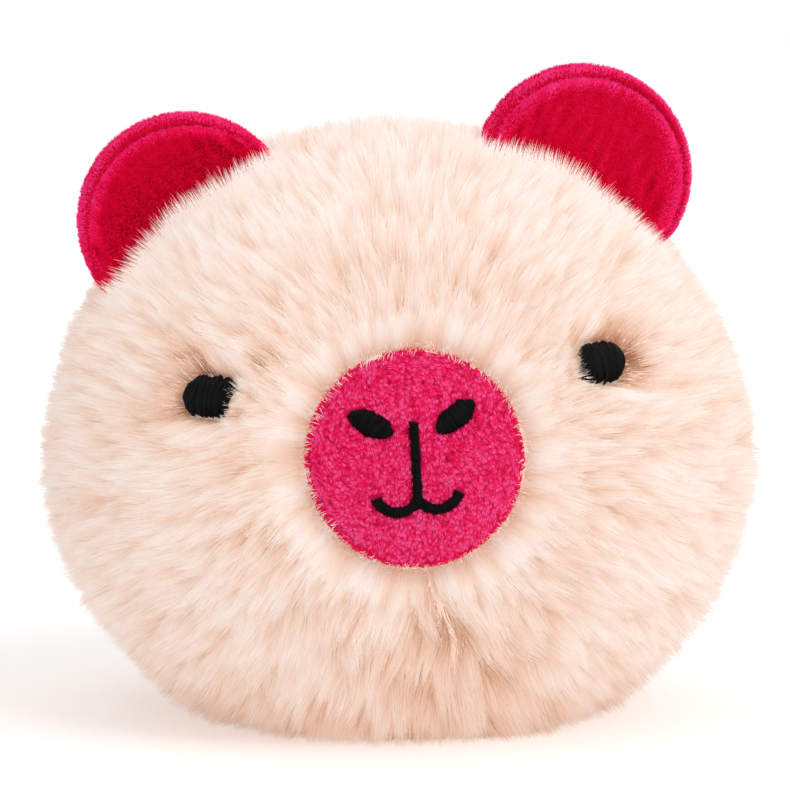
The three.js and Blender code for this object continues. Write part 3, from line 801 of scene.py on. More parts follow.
def muzzle_plush():
    tints = [
        (0.0, (0.28, 0.0004, 0.02)),
        (0.4, (0.88, 0.007, 0.085)),
        (0.7, (0.99, 0.024, 0.16)),
        (1.0, (1.0, 0.08, 0.28)),
    ]
    # Darker at both ends of a loop, as painted shade where it dips into the backing
    along = [(0.0, (0.35, 0.2, 0.25)), (0.5, (1.0, 1.0, 1.0)), (1.0, (0.35, 0.2, 0.25))]
    return fibre_material("muzzle_plush", tints, along, roughness=0.6, specular=0.05)


def ear_plush():
    # the low tints are the painted shade at an ear's foot
    tints = [
        (0.0, (0.22, 0.0004, 0.007)),
        (0.35, (0.74, 0.0018, 0.032)),
        (0.7, (0.99, 0.012, 0.12)),
        (1.0, (1.0, 0.04, 0.23)),
    ]
    # Darker at the roots, as painted shade in the pile
    along = [(0.0, (0.8, 0.7, 0.75)), (1.0, (1.0, 1.0, 1.0))]
    return fibre_material("ear_plush", tints, along, roughness=0.8, specular=0.0)


def black_thread():
    tints = [(0.0, (0.001, 0.001, 0.001)), (1.0, (0.005, 0.005, 0.006))]
    # Darker at a thread's ends, as painted shade where it dips into the cloth
    along = [(0.0, (0.6, 0.6, 0.6)), (0.5, (1.0, 1.0, 1.0)), (1.0, (0.6, 0.6, 0.6))]
    return fibre_material("black_thread", tints, along, roughness=0.35, specular=0.05)


def pink_thread():
    tints = [(0.0, (0.60, 0.003, 0.04)), (1.0, (0.90, 0.01, 0.09))]
    # Darker at a thread's ends, as painted shade where it dips into the cloth
    along = [(0.0, (0.8, 0.8, 0.8)), (0.5, (1.0, 1.0, 1.0)), (1.0, (0.8, 0.8, 0.8))]
    return fibre_material("pink_thread", tints, along, roughness=0.6, specular=0.05)


# Where the fur changes


def off_parting(local):
    """Distance from the parting under the muzzle, which slants a little to one side."""
    return local[:, 0] - PARTING_ASIDE - PARTING_SLANT * np.clip(PARTING_TOP - local[:, 1], 0, PARTING_RUN)


def nap(points, normals):
    """The way the fur lies: away from the muzzle on the face, and down the back."""
    local = muzzle.local(points)
    behind = ramp(*NAP_TURN, points[:, 1])[:, None]
    lie = unit(points - muzzle.point) * (1 - behind) + BACK_LIE * behind
    under = band(local[:, 1], *PARTED) * (points[:, 1] < 0)
    aside = off_parting(local)
    parting = np.sign(aside) * np.exp(-np.abs(aside) / PARTING_REACH) * under
    return laid(lie + PARTING_TURN * parting[:, None] * muzzle.right, normals)


def before_eye(points, lie):
    """1 where fur would lie straight over an eye's near edge, falling to 0 away from it."""

    def close(spot, local):
        heading = dot(lie, spot.point - points)[:, 0] > 0
        return heading * (1 - ramp(*EYE_FRONT_ZONE, eye_reach(local) - 1))

    return most_at(eyes.values(), points, close)


def parted_at_eyes(points, normals, lie):
    """Turns the fur above and below each eye away from it."""
    for spot in eyes.values():
        local = spot.local(points)
        rise = local[:, 1] / EYE_HALF[1]
        close = np.where(local[:, 2] > -spot.behind, 1 - ramp(*EYE_PARTING_ZONE, eye_reach(local)), 0)
        away = np.sign(rise) * ramp(*EYE_RISE_ZONE, np.abs(rise)) * close
        lie = lie + away[:, None] * spot.up
    return laid(lie, normals)


def ear_front(ear, local):
    """How far back an ear's front lies, at places in the ear's own axes."""
    radius = np.hypot(local[..., 0], local[..., 2] + ear.drop)
    return np.interp(radius, *EAR_SECTION[:EAR_FRONT_POINTS].T)


def held_off_ears(paths, normals):
    """Bends the hairs that grow towards an ear up along its front."""
    for ear in ears.values():
        local = ear.local(paths.reshape(-1, 3)).reshape(paths.shape)
        stop = ear_front(ear, local) - EAR_PILE
        starts_near = (local[:, :1, 1] < 0) & (local[:, :1, 2] > -ear.behind)
        faces_ear = starts_near & (np.abs(local[..., 0]) < EAR_RADIUS)
        past = np.where(faces_ear, np.maximum(0, local[..., 1] - stop), 0)
        paths = paths - past[..., None] * ear.back
        normals = unit(normals - HELD_OFF_LIT * ramp(*HELD_OFF, past.max(axis=1))[:, None] * ear.back)
    return paths, normals


def before_ears(points):
    """1 on the fur just before an ear, falling to 0 away from it."""

    def ahead(ear, local):
        x, y, _ = local.T
        return ramp(*BEFORE_EAR, y) * (y < 0) * (1 - ramp(*BEFORE_EAR_SIDES, np.abs(x)))

    return most_at(ears.values(), points, ahead)


def eye_crease(points):
    """1 in the crease at each eye's outer side, falling to 0 away from it."""

    def deep(spot, local):
        outward = np.sign(spot.point[0])
        towards = np.array([outward * math.cos(CREASE_TURN), math.sin(CREASE_TURN)])
        facing = local[:, :2] @ towards / np.maximum(np.hypot(local[:, 0], local[:, 1]), 0.1)
        close = bell(np.maximum(eye_reach(local) - 1, 0), CREASE_WIDTH)
        return close * ramp(*CREASE_ZONE, facing)

    return most_at(eyes.values(), points, deep)


def shaded(points):
    """How dark the fur's roots are, from 0 to 1, as painted shade: in the creases at the eyes, in the
    parting, under the chin and near the floor.
    """
    local = muzzle.local(points)
    aside = off_parting(local)
    ahead = points[:, 1] < 0
    parting = bell(aside, DARK_PARTING_WIDTH) * ahead * band(local[:, 1], *DARK_PARTING)
    chin = band(local[:, 1], *DARK_CHIN) * ahead * (1 - ramp(*DARK_CHIN_SIDES, np.abs(aside)))
    low = LOW_DARK * ramp(*DARK_LOW, points[:, 2]) + LOWEST_DARK * ramp(*DARK_LOWEST, points[:, 2])
    return np.minimum(eye_crease(points) + PARTING_DARK * parting + CHIN_DARK * chin + low, 1)


def beside_pink(points):
    """1 on the fur close to the muzzle or before an ear, where pink bounce light is painted, falling to 0
    away from them.
    """

    def by_muzzle(place, local):
        return bell(np.maximum(rim_gap(local), 0), PINK_OFF_RIM)

    def by_ear(place, local):
        close = bell(local[:, 1] + PINK_BEFORE_EAR, PINK_EAR_WIDTH)
        return close * (1 - ramp(*PINK_EAR_SIDES, np.abs(local[:, 0])))

    return np.maximum(most_at([muzzle], points, by_muzzle), most_at(ears.values(), points, by_ear))


def below_chin(points):
    """1 in the long fur under the muzzle, falling to 0 away from it."""
    x, y, _ = muzzle.local(points).T
    return ramp(*CHIN_HEIGHTS, y) * (1 - ramp(*CHIN_SIDES, np.abs(x))) * (points[:, 1] < 0)


def rim_of_fur(rise):
    """Radius from which fur grows round the muzzle. It comes further in at the top, where rise is 1."""
    return MUZZLE_RADIUS - RIM_INSIDE - RIM_TOP_INSIDE * np.maximum(rise, 0)


def off_features(points):
    """True where hairs may grow: not under the muzzle, the eyes or the ears."""
    local = muzzle.local(points)
    radius = np.hypot(local[:, 0], local[:, 1])
    bare = (radius < rim_of_fur(local[:, 1] / radius)) & (local[:, 2] > -muzzle.behind)
    bare |= most_at(eyes.values(), points, lambda spot, local: eye_reach(local) < EYE_RING[0]) > 0
    for ear in ears.values():
        local = ear.local(points)
        x, y, z = local.T
        inside = (y > ear_front(ear, local) - EAR_PILE) & (y < BARE_EAR_BACK)
        bare |= inside & (np.abs(x) < BARE_EAR_SIDE) & (z > -BARE_EAR_BELOW)
    return ~bare


# Fur


def guides(directions, loose, uneven, inward=False):
    """Centre lines of hairs or tufts that grow at these directions, with their roots' normals. Inward ones
    lean the other way, and less."""
    roots, normals = on_head(directions, ROOT_DEPTH)
    inward = np.broadcast_to(inward, len(roots))
    lie = nap(roots, normals) * np.where(inward, -1, 1)[:, None]
    swirl = wander(roots, *BROAD_SWIRL) + wander(roots, *FINE_SWIRL)
    lie = turned(lie, normals, swirl + random.normal(0, loose, len(roots)))
    lie = parted_at_eyes(roots, normals, lie)
    length = FUR_LENGTH + CHIN_LENGTH * below_chin(roots)
    length = length * (1 + wander(roots, *LENGTH_WAVE) + random.normal(0, uneven, len(roots)))
    rim = near_muzzle(roots, *RIM_ZONE)
    eye = before_eye(roots, lie)
    length = mix(mix(length, RIM_LENGTH, rim), EYE_LENGTH, eye) * (1 - CREASE_CUT * eye_crease(roots))
    length = length * (1 - EAR_CUT * before_ears(roots))
    first = LEAN_AT_ROOT * (1 - EYE_RAISED[0] * eye) + random.normal(0, LEAN_SPREAD[0], len(roots))
    last = LEAN_AT_TIP * (1 - EYE_RAISED[1] * eye) * (1 - RIM_RAISED * rim)
    last = last + random.normal(0, LEAN_SPREAD[1], len(roots))
    last = mix(last, LOW_LEAN, ramp(*LOW_FUR, roots[:, 2]))
    last = np.where(inward, INWARD_LEAN * last, last)
    length = np.where(inward, INWARD_LENGTH * length, length)
    return grow(roots, normals, lie, length, first, last, len(HAIR_RADII)), normals


def grow(roots, normals, lie, length, first, last, steps):
    """Lines that lean over more and more towards their tips."""
    points = [roots]
    for i in range(steps):
        lean = mix(first, last, (i + 0.5) / steps)[:, None]
        step = (length / steps)[:, None]
        points.append(points[-1] + step * (normals * np.cos(lean) + lie * np.sin(lean)))
    return np.stack(points, axis=1)


def nearest(points, others):
    """Number of the nearest of the others, for each point."""
    tree = KDTree(len(others))
    for i, p in enumerate(others):
        tree.insert(p, i)
    tree.balance()
    return np.array([tree.find(p)[1] for p in points])


def rim_directions():
    """Directions to places close round the muzzle."""
    turn = random.uniform(0, 2 * math.pi, RIM_HAIRS)
    radius = rim_of_fur(np.sin(turn)) + random.uniform(0, RIM_WIDTH, RIM_HAIRS)
    roots = muzzle.surface(radius * np.cos(turn), radius * np.sin(turn), ROOT_DEPTH)
    return directions_to(roots, ROOT_DEPTH)


def eye_directions():
    """Directions to places close round the eyes."""
    found = []
    for spot in eyes.values():
        turn = random.uniform(0, 2 * math.pi, EYE_HAIRS)
        out = random.uniform(*EYE_RING, EYE_HAIRS)
        x, y = EYE_HALF[0] * out * np.cos(turn), EYE_HALF[1] * out * np.sin(turn)
        roots = spot.surface(x, y, ROOT_DEPTH)
        found.append(directions_to(roots, ROOT_DEPTH))
    return np.concatenate(found)


def edge_share(offsets):
    """How near the edge of their tuft or clump things are, from offsets as shares of its reach."""
    return np.minimum(np.sum(offsets**2, axis=1), FULL_EDGE)


def fur_tufts(steps):
    """Centre lines of the tufts, closed up into clumps, and how near its clump's edge each is."""
    clumps, _ = guides(spread_directions(CLUMPS, CLUMP_JITTER), **CLUMP_SPREAD)
    clumps = clumps[off_features(clumps[:, 0])]
    tufts, _ = guides(spread_directions(TUFTS, TUFT_JITTER), **TUFT_SPREAD)
    tufts = tufts[off_features(tufts[:, 0])]
    own = clumps[nearest(tufts[:, 0], clumps[:, 0])]
    closing = CLUMP_CLOSING * (1 + below_chin(tufts[:, 0])) * ramp(*CLUMPED, tufts[:, 0, 2])
    tufts = mix(tufts, own, closing[:, None, None] * steps**CLUMP_CURVE)
    return tufts, edge_share((tufts[:, 0] - own[:, 0]) / CLUMP_REACH)


def fur_strands():
    """Every hair of the coat as a line of points, with its tint, direction out of its tuft and shade."""
    steps = np.linspace(0, 1, len(HAIR_RADII) + 1)[:, None]
    tufts, clump_edge = fur_tufts(steps)
    directions = [rim_directions(), spread_directions(HAIRS, HAIR_JITTER), eye_directions()]
    directions = np.concatenate(directions)
    inward = np.arange(len(directions)) < RIM_INWARD * RIM_HAIRS
    hairs, normals = guides(directions, **HAIR_SPREAD, inward=inward)
    grown = (hairs[:, 0, 2] > LOWEST_ROOT) & off_features(hairs[:, 0])
    hairs, normals, inward = hairs[grown], normals[grown], inward[grown]
    owner = nearest(hairs[:, 0], tufts[:, 0])
    count = len(hairs)
    under = random.uniform(0, 1, count) < UNDERCOAT
    roots = hairs[:, 0]
    apart = (1 - RIM_APART * near_muzzle(roots, *RIM_ZONE)) * (1 - EAR_APART * before_ears(roots))
    apart = apart * (1 - EYE_APART * near_eyes(roots, *EYE_ZONE))
    closing = (np.where(under, UNDER_CLOSING, TUFT_CLOSING * apart) * ~inward)[:, None, None]
    paths = mix(hairs, tufts[owner], closing * steps**TUFT_CURVE)
    paths = paths + random.normal(0, TIP_SCATTER, (count, 1, 3)) * steps
    scale = np.where(under, random.uniform(*UNDERCOAT_LENGTH, count), random.uniform(*COAT_LENGTH, count))
    paths = paths[:, :1] + (paths - paths[:, :1]) * scale[:, None, None]
    paths, normals = held_off_ears(paths, normals)
    aside = (hairs[:, 0] - tufts[owner, 0]) / TUFT_REACH
    tints = TUFT_TINTS * random.normal(size=len(tufts))[owner] + HAIR_TINTS * random.normal(size=count)
    shades = shaded(paths[:, 0])
    tints = tints - UNDERCOAT_DARK * under - SHADE_DARK * shades
    tints = fur_tints(paths[:, 0], tints, edge_share(aside), clump_edge[owner])
    paths[..., 2] = np.maximum(paths[..., 2], FLOOR_GAP)
    return paths, tints, unit(normals + TUFT_ROUND * aside), shades


def fur_tints(roots, tints, edge, clump_edge):
    """Adds tints by place to hairs' own: painted shade at the edges of tufts and clumps and round the
    muzzle, painted light on the crown, and pink bounce light painted beside pink plush."""
    tints = tints + FUR_TINT - TUFT_EDGE_DARK * edge
    tints = tints - CLUMP_EDGE_DARK * clump_edge * (1 + CHIN_EDGE * below_chin(roots))
    tints = tints + wander(roots, *TINT_WAVE) + CROWN_LIGHT * ramp(*CROWN_LIGHT_ZONE, roots[:, 2])
    tints = tints - (CHEEK_DARK + CHEEK_EDGE_DARK * edge) * near_muzzle(roots, *CHEEK_ZONE)
    tints = np.clip(tints, 0, 1)
    return mix(PALEST * tints, mix(PALEST, 1, tints), PINK_BOUNCE_SHARE * beside_pink(roots))


def base_strands():
    """Flattened hairs of the patch that the toy sits on."""
    radius = (BASE_WIDTH / 2 - BASE_INSET) * np.sqrt(random.uniform(0, 1, BASE_HAIRS))
    turn = random.uniform(0, 2 * math.pi, BASE_HAIRS)
    deep = HALF_DEPTH / HALF_WIDTH
    height = np.full(BASE_HAIRS, BASE_ROOT)
    roots = np.stack([radius * np.cos(turn), deep * radius * np.sin(turn), height], axis=1)
    normals = np.tile([0.0, 0.0, -1.0], (BASE_HAIRS, 1))
    swirl = wander(roots, *BASE_SWIRL) + random.normal(0, BASE_LOOSE, BASE_HAIRS)
    lie = turned(nap(roots, normals), normals, swirl)
    length = random.uniform(*BASE_LENGTH, BASE_HAIRS)
    lean = np.full(BASE_HAIRS, BASE_LEAN)
    paths = grow(roots, normals, lie, length, lean, lean + BASE_CURL, len(HAIR_RADII))
    lowest = FLOOR_GAP + BASE_THICKNESS * random.uniform(0, 1, (BASE_HAIRS, 1))
    paths[..., 2] = np.maximum(paths[..., 2], lowest)
    return paths, BASE_TINT + BASE_TINTS * random.normal(size=BASE_HAIRS), normals


def hollow(points):
    """1 under the muzzle and the eyes, falling to 0 beside them."""
    return np.maximum(near_muzzle(points, *DIP_ZONE), near_eyes(points, *EYE_DIP_ZONE))


def lathe_ball(depth, base, rows, columns):
    """The head's ball at a depth below the tips of the fur, with a flat base."""
    bottom = math.asin(min(1, (WIDEST - base) / (LOWER_HEIGHT - depth)))
    heights = np.sin(np.linspace(-bottom, math.pi / 2, rows))[:-1]
    turn = full_turn(columns)
    level = np.sqrt(1 - heights**2)
    ring = np.stack([np.cos(turn), np.sin(turn)], axis=1)
    rings = [np.column_stack([ring * r, np.full(columns, h)]) for r, h in zip(level, heights)]
    points, normals = on_head(np.concatenate(rings), depth)
    points += normals * (wander(points, *SKIN_LUMPS) - SKIN_DIP * hollow(points))[:, None]
    low, high = len(points), len(points) + 1
    points = np.vstack([points, [[0, 0, base]], [[0, 0, TOP - depth]]])
    faces = wall_faces(rows - 1, columns)
    faces += flipped(fan_faces(low, 0, columns)) + fan_faces(high, low - columns, columns)
    return points, faces


def build_fur():
    fur = cream_fur()
    skin = cloth_material("fur_backing", (0.90, 0.63, 0.50), (0.95, 0.72, 0.60), 900, 0.9, 0.4)
    ball = mesh_from("fur_backing", *lathe_ball(SKIN_DEPTH, SKIN_BASE, SKIN_ROWS, SKIN_COLUMNS))
    backing = finish_mesh(ball, skin, "head")
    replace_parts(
        backing, "stuffing", "crown_seam_thread", "back_seam_thread", "closing_thread", "chin_seam_thread",
        "ear_left_root", "ear_right_root",
    )
    paths, tints, facing, shades = fur_strands()
    front = paths[:, 0, 1] < ears["left"].fold[1]
    left = paths[:, 0, 0] < 0
    regions = {
        "face_panel": front,
        "back_panel_left": ~front & left,
        "back_panel_right": ~front & ~left,
    }
    for node, inside in regions.items():
        chosen = np.flatnonzero(inside)
        chosen = chosen[np.argsort(paths[chosen, 0, 2])]
        parts = math.ceil(len(chosen) / STRANDS_IN_PIECE)
        for number, part in enumerate(np.array_split(chosen, parts), 1):
            name = f"fur_{node}_{number:02d}"
            mesh = pile_mesh(name, paths[part], HAIR_RADII, tints[part], facing[part], shades[part])
            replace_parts(finish_mesh(mesh, fur, "head", sheer=True), node)
    paths, tints, facing = base_strands()
    mesh = pile_mesh("fur_under", paths, HAIR_RADII, tints, facing)
    finish_mesh(mesh, fur, "head")


# Muzzle


def muzzle_depth(radius):
    """Depth of the muzzle's backing below the fur's tips: nearly level, and tucked in at its rim."""
    share = radius / MUZZLE_RADIUS
    return MUZZLE_DEPTH - MUZZLE_SWELL * (1 - share**2) + MUZZLE_TUCK * ramp(*MUZZLE_TUCKED, share)


def muzzle_disc():
    """The muzzle's closed backing: rings, finer towards its rim, the rim's underside, and both middles."""
    rows, columns = MUZZLE_ROWS, MUZZLE_COLUMNS
    share = np.repeat(np.sin(np.linspace(0, math.pi / 2, rows + 1))[1:], columns)
    turn = np.tile(full_turn(columns), rows)
    radius = share * (MUZZLE_RADIUS + MUZZLE_EDGE)
    x, y = radius * np.cos(turn), radius * np.sin(turn)
    top = muzzle.surface(x, y, muzzle_depth(radius))
    bottom = muzzle.surface(x[-columns:], y[-columns:], MUZZLE_UNDERSIDE)
    zero = np.zeros(1)
    middles = [muzzle.surface(zero, zero, depth) for depth in (muzzle_depth(zero), MUZZLE_UNDERSIDE)]
    points = np.vstack([top, bottom, *middles])
    centre = len(points) - 2
    faces = flipped(wall_faces(rows + 1, columns)) + fan_faces(centre, 0, columns)
    faces += flipped(fan_faces(centre + 1, rows * columns, columns))
    return mesh_from("muzzle_disc", points, faces)


def build_muzzle():
    cloth = cloth_material("muzzle_backing", (0.55, 0.004, 0.05), (0.68, 0.01, 0.08), 1500, 0.85, 0.5)
    base = finish_mesh(muzzle_disc(), cloth, "head")
    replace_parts(base, "muzzle_stabiliser")

    plush = muzzle_plush()
    paths, tints, facing = muzzle_pile()
    for number, part in enumerate(np.array_split(np.arange(len(paths)), 2), 1):
        mesh = pile_mesh(f"muzzle_pile_{number}", paths[part], LOOP_RADII, tints[part], facing[part])
        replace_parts(finish_mesh(mesh, plush, "head", sheer=True), "muzzle_panel")
    paths = muzzle_edge()
    tints = random.uniform(*EDGE_TINTS, len(paths))
    mesh = tube_mesh("muzzle_edge", paths, EDGE_RADII, tints, sides=5)
    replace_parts(finish_mesh(mesh, plush, "head", sheer=True), "muzzle_seam_thread")


def under_stitches(x, y):
    """True where stitches press the muzzle's pile down."""
    hidden = np.zeros(len(x), bool)
    for middle, half in muzzle_lines().values():
        for px, py, width in zip(*middle, half):
            hidden |= np.hypot(x - px, y - py) < width + STITCH_MARGIN
    return hidden


def muzzle_pile():
    """Looped plush: small bundles of fibre that rise from the backing and turn back into it."""
    i = np.arange(MUZZLE_LOOPS) + 0.5
    radius = MUZZLE_RADIUS * np.sqrt(i / MUZZLE_LOOPS)
    turn = GOLDEN_TURN * i
    knot = np.stack([radius * np.cos(turn), radius * np.sin(turn)], axis=1)
    knot += random.normal(0, LOOP_JITTER, knot.shape)
    kept = ~under_stitches(*knot.T) & (np.hypot(*knot.T) < MUZZLE_RADIUS - LOOP_MARGIN)
    knot = knot[kept]
    field = np.column_stack([knot, np.zeros(len(knot))])
    heading = LOOP_TURN + wander(field, *LOOP_SWIRL) + random.normal(0, LOOP_LOOSE, len(knot))
    lie = np.stack([np.cos(heading), np.sin(heading)], axis=1)
    across = np.stack([-lie[:, 1], lie[:, 0]], axis=1)

    of = np.repeat(np.arange(len(knot)), STRANDS_IN_LOOP)
    count = len(of)
    t = np.linspace(0, 1, len(LOOP_RADII) + 1)
    long = LOOP_LENGTH * random.uniform(*LOOP_LENGTHS, count)
    high = LOOP_HEIGHT * random.uniform(*LOOP_HEIGHTS, count)
    beside = random.normal(0, LOOP_SPREAD, count)
    flat = knot[of][:, None] + lie[of][:, None] * (long[:, None] * (t - 0.5))[..., None]
    flat = flat + across[of][:, None] * (beside[:, None] * (0.4 + np.sin(math.pi * t)))[..., None]
    reach = np.hypot(flat[..., 0], flat[..., 1])
    depth = muzzle_depth(reach) + LOOP_SUNK - high[:, None] * np.sin(math.pi * t) ** 0.8
    paths = muzzle.surface(flat[..., 0], flat[..., 1], depth)
    _, facing = on_head(directions_to(paths[:, 0], 0), 0)
    tints = LOOP_TINT + LOOP_TINTS * random.normal(size=len(knot))[of]
    tints = tints + STRAND_TINTS * random.normal(size=count) + wander(field, *LOOP_TINT_WAVE)[of]
    # painted glints on a few strands
    tints = tints + GLINT_BRIGHTER * (random.uniform(0, 1, count) < GLINT_STRANDS)
    return paths, tints + LOWER_LOOPS_LIT * ramp(*LOWER_LOOPS_LIT_ZONE, knot[:, 1])[of], facing


def muzzle_edge():
    """Satin threads laid over the muzzle's rim, side by side."""
    each = (EDGE_THREADS, 1)
    turn = full_turn(EDGE_THREADS) + random.normal(0, EDGE_TURNS, EDGE_THREADS)
    across = np.linspace(-1, 1, len(EDGE_RADII) + 1)
    radius = MUZZLE_RADIUS - MUZZLE_EDGE + across * random.uniform(*EDGE_HALF_WIDTH, each)
    arch = EDGE_ARCH * np.sqrt(np.maximum(1 - across**2, 0))
    depth = EDGE_DEPTH - arch + random.normal(0, EDGE_LAYERS, each)
    turns = turn[:, None] + EDGE_SKEW * across
    return muzzle.surface(radius * np.cos(turns), radius * np.sin(turns), depth)


# Embroidery


def muzzle_lines():
    """Middle line and half width of each stitched line or patch on the muzzle."""
    lines = {}
    along = np.linspace(-1, 1, NOSTRIL_THREADS)
    oval = np.sqrt(np.maximum(1 - np.abs(along) ** 2.2, 0.08))
    for side, sign in (("left", -1), ("right", 1)):
        slant = sign * NOSTRIL_SLANT
        x = sign * NOSTRIL_PLACE[0] + NOSTRIL_HALF[0] * along * math.cos(slant)
        y = NOSTRIL_PLACE[1] + NOSTRIL_HALF[0] * along * math.sin(slant)
        lines[f"nostril_{side}"] = (x, y), NOSTRIL_HALF[1] * oval
        start, end = MOUTH_TURNS if sign > 0 else (math.pi - turn for turn in MOUTH_TURNS)
        turn = np.linspace(start, end, MOUTH_THREADS)
        x = sign * MOUTH_ASIDE + MOUTH_SHIFT + MOUTH_RADIUS * np.cos(turn)
        y = MOUTH_HEIGHT + MOUTH_RADIUS * np.sin(turn)
        lines[f"mouth_{side}"] = (x, y), np.full(MOUTH_THREADS, MOUTH_HALF_WIDTH)
    x = np.linspace(0, MOUTH_SHIFT, PHILTRUM_THREADS)
    y = np.linspace(*PHILTRUM_HEIGHTS, PHILTRUM_THREADS)
    lines["philtrum"] = (x, y), np.full(PHILTRUM_THREADS, PHILTRUM_HALF_WIDTH)
    return lines


def satin(spot, depth_at, middle, half, height):
    """Threads laid side by side across a line, each arched over it and pulled down at its ends."""
    px, py = middle
    tx, ty = np.gradient(px), np.gradient(py)
    size = np.hypot(tx, ty)
    nx, ny = -ty / size, tx / size
    across = THREAD_ACROSS
    count = len(px)
    slip = random.normal(0, THREAD_SLIP, (count, 2))
    reach = half[:, None] * (across * (1 + slip[:, :1]) + 0.5 * slip[:, 1:])
    skew = THREAD_SKEW * across
    x = px[:, None] + nx[:, None] * reach + tx[:, None] / size[:, None] * skew
    y = py[:, None] + ny[:, None] * reach + ty[:, None] / size[:, None] * skew
    rise = height * np.sqrt(np.maximum(1 - across**2, 0)) * np.minimum(1, half[:, None] / FULL_ARCH)
    rise = rise - THREAD_PULL * np.abs(across) ** 6
    depth = depth_at(np.hypot(x, y)) - rise - random.uniform(0, THREAD_LAYERS, (count, 1))
    return spot.surface(x, y, depth)


def build_patch(node, paths, thread):
    """One stitched line or patch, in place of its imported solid."""
    tints = random.uniform(*THREAD_TINTS, len(paths))
    mesh = tube_mesh(f"{node}_stitches", paths, THREAD_RADII, tints, sides=6)
    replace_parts(finish_mesh(mesh, thread, "head"), node)


def build_stitches():
    thread = black_thread()

    def pressed(radius):
        return muzzle_depth(radius) - STITCHES_ABOVE

    for node, (middle, half) in muzzle_lines().items():
        build_patch(node, satin(muzzle, pressed, middle, half, MUZZLE_ARCH), thread)

    def pushed(radius):
        return EYE_DEPTH - EYE_SWELL * (1 - (radius / EYE_HALF[0]) ** 2)

    for side, spot in eyes.items():
        t = np.linspace(-1, 1, EYE_THREADS)
        middle = EYE_HALF[0] * EYE_STITCHED * t, EYE_UNEVEN * np.sin(3 * t)
        past = np.maximum(np.abs(middle[0]) - EYE_HALF[0] + EYE_CORNER, 0)
        half = EYE_HALF[1] - EYE_CORNER + np.sqrt(np.maximum(EYE_CORNER**2 - past**2, 0))
        build_patch(f"eye_{side}", satin(spot, pushed, middle, half, EYE_ARCH), thread)


# Ears


def smooth_line(points, each):
    """A Catmull-Rom line through points, with this many steps between two of them."""
    padded = np.vstack([2 * points[0] - points[1], points, 2 * points[-1] - points[-2]])
    line = []
    for a, b, c, d in zip(padded, padded[1:], padded[2:], padded[3:]):
        for t in np.arange(each) / each:
            bend = (2 * a - 5 * b + 4 * c - d) * t**2 + (3 * b - a - 3 * c + d) * t**3
            line.append(0.5 * (2 * b + (c - a) * t + bend))
    line.append(points[-1])
    return np.array(line)


def ear_points(ear, radius, thick, turn):
    """Places of an ear's disc in the frame. Its lower half is drawn in, because the head holds it."""
    near_seam = bell(radius - EAR_SEAM_RADIUS, EAR_SHIFT_WIDTH) * (thick < 0)
    shift_turn = EAR_SEAM_SHIFT_TURN[ear.side]
    x = radius * np.cos(turn) + EAR_SEAM_SHIFT * near_seam * math.cos(shift_turn)
    z = radius * np.sin(turn) + EAR_SEAM_SHIFT * near_seam * math.sin(shift_turn)
    z = np.where(z < 0, EAR_FOOT * z, z)
    x = EAR_GROWTH * x + EAR_SLIDE[ear.side]
    return ear.world(np.stack([x, thick, EAR_GROWTH * z - ear.drop], axis=-1))


def ear_surface(ear, section, turn):
    """Points of an ear over a section and a set of angles, with the dents of its seam."""
    radius, thick = section[:, 0][:, None], section[:, 1][:, None]
    close = bell(radius - EAR_SEAM_RADIUS, EAR_DENT_WIDTH) * (thick < 0)
    dents = EAR_DENT * close * np.cos(turn[None] * EAR_STITCHES)
    wave = EAR_WAVE * np.sin(3 * turn[None] + 0.7) * (radius / EAR_RADIUS) ** 2
    wide = np.broadcast_to(radius, (len(section), len(turn)))
    points = ear_points(ear, wide, thick + dents + wave, np.broadcast_to(turn[None], wide.shape))
    return points.reshape(-1, 3)


def ear_panel(name, ear, section, closing):
    """A closed sheet of plush over part of an ear's section, with its inner side a little way in."""
    turn = full_turn(EAR_COLUMNS)
    points = np.vstack([ear_surface(ear, part, turn) for part in (section, np.array(closing))])
    rows = len(section) + len(closing)
    faces = flipped(wall_faces(rows, EAR_COLUMNS))
    last = (rows - 1) * EAR_COLUMNS
    for i in range(EAR_COLUMNS):
        k = (i + 1) % EAR_COLUMNS
        faces.append((last + i, i, k, last + k))
    return mesh_from(name, points, faces)


def ear_places(section):
    """Random places over part of an ear's section, as their radius, place through the thickness and turn,
    with the section's direction out of the ear there."""
    along = np.concatenate([[0], np.cumsum(np.hypot(*np.diff(section, axis=0).T))])
    weight = np.interp(np.linspace(0, along[-1], SECTION_SAMPLES), along, section[:, 0])
    total = np.concatenate([[0], np.cumsum(weight)])
    places = np.linspace(0, along[-1], SECTION_SAMPLES + 1)
    pick = np.interp(random.uniform(0, total[-1], EAR_HAIRS), total, places)
    radius, thick = (np.interp(pick, along, section[:, i]) for i in (0, 1))
    turn = random.uniform(*EAR_SHOWN, EAR_HAIRS)
    slope = np.gradient(section, axis=0)
    facing = np.stack([slope[:, 1], -slope[:, 0]], axis=1)
    away = unit(np.stack([np.interp(pick, along, facing[:, i]) for i in (0, 1)], axis=1))
    return radius, thick, turn, away


def ear_tints(ear, roots, radius, ahead, tint):
    """Tints of an ear's pile: streaked, with a painted highlight on the band inside the seam in front and
    painted shade at the foot.
    """
    rays = roots - MIDDLE
    above = (np.linalg.norm(rays / axes_for(rays, 0), axis=1) - 1) * HALF_WIDTH
    pale = EAR_BAND_HIGHLIGHT * (ramp(*EAR_BAND, radius) * ahead)
    streaks = wander(EAR_STREAK_SCALE * ear.local(roots), *EAR_STREAKS)
    tints = tint + pale + streaks + EAR_HAIR_TINTS * random.normal(size=EAR_HAIRS)
    return tints - EAR_SHADE[ear.side] * (1 - ramp(*EAR_SHADE_ZONE, above))


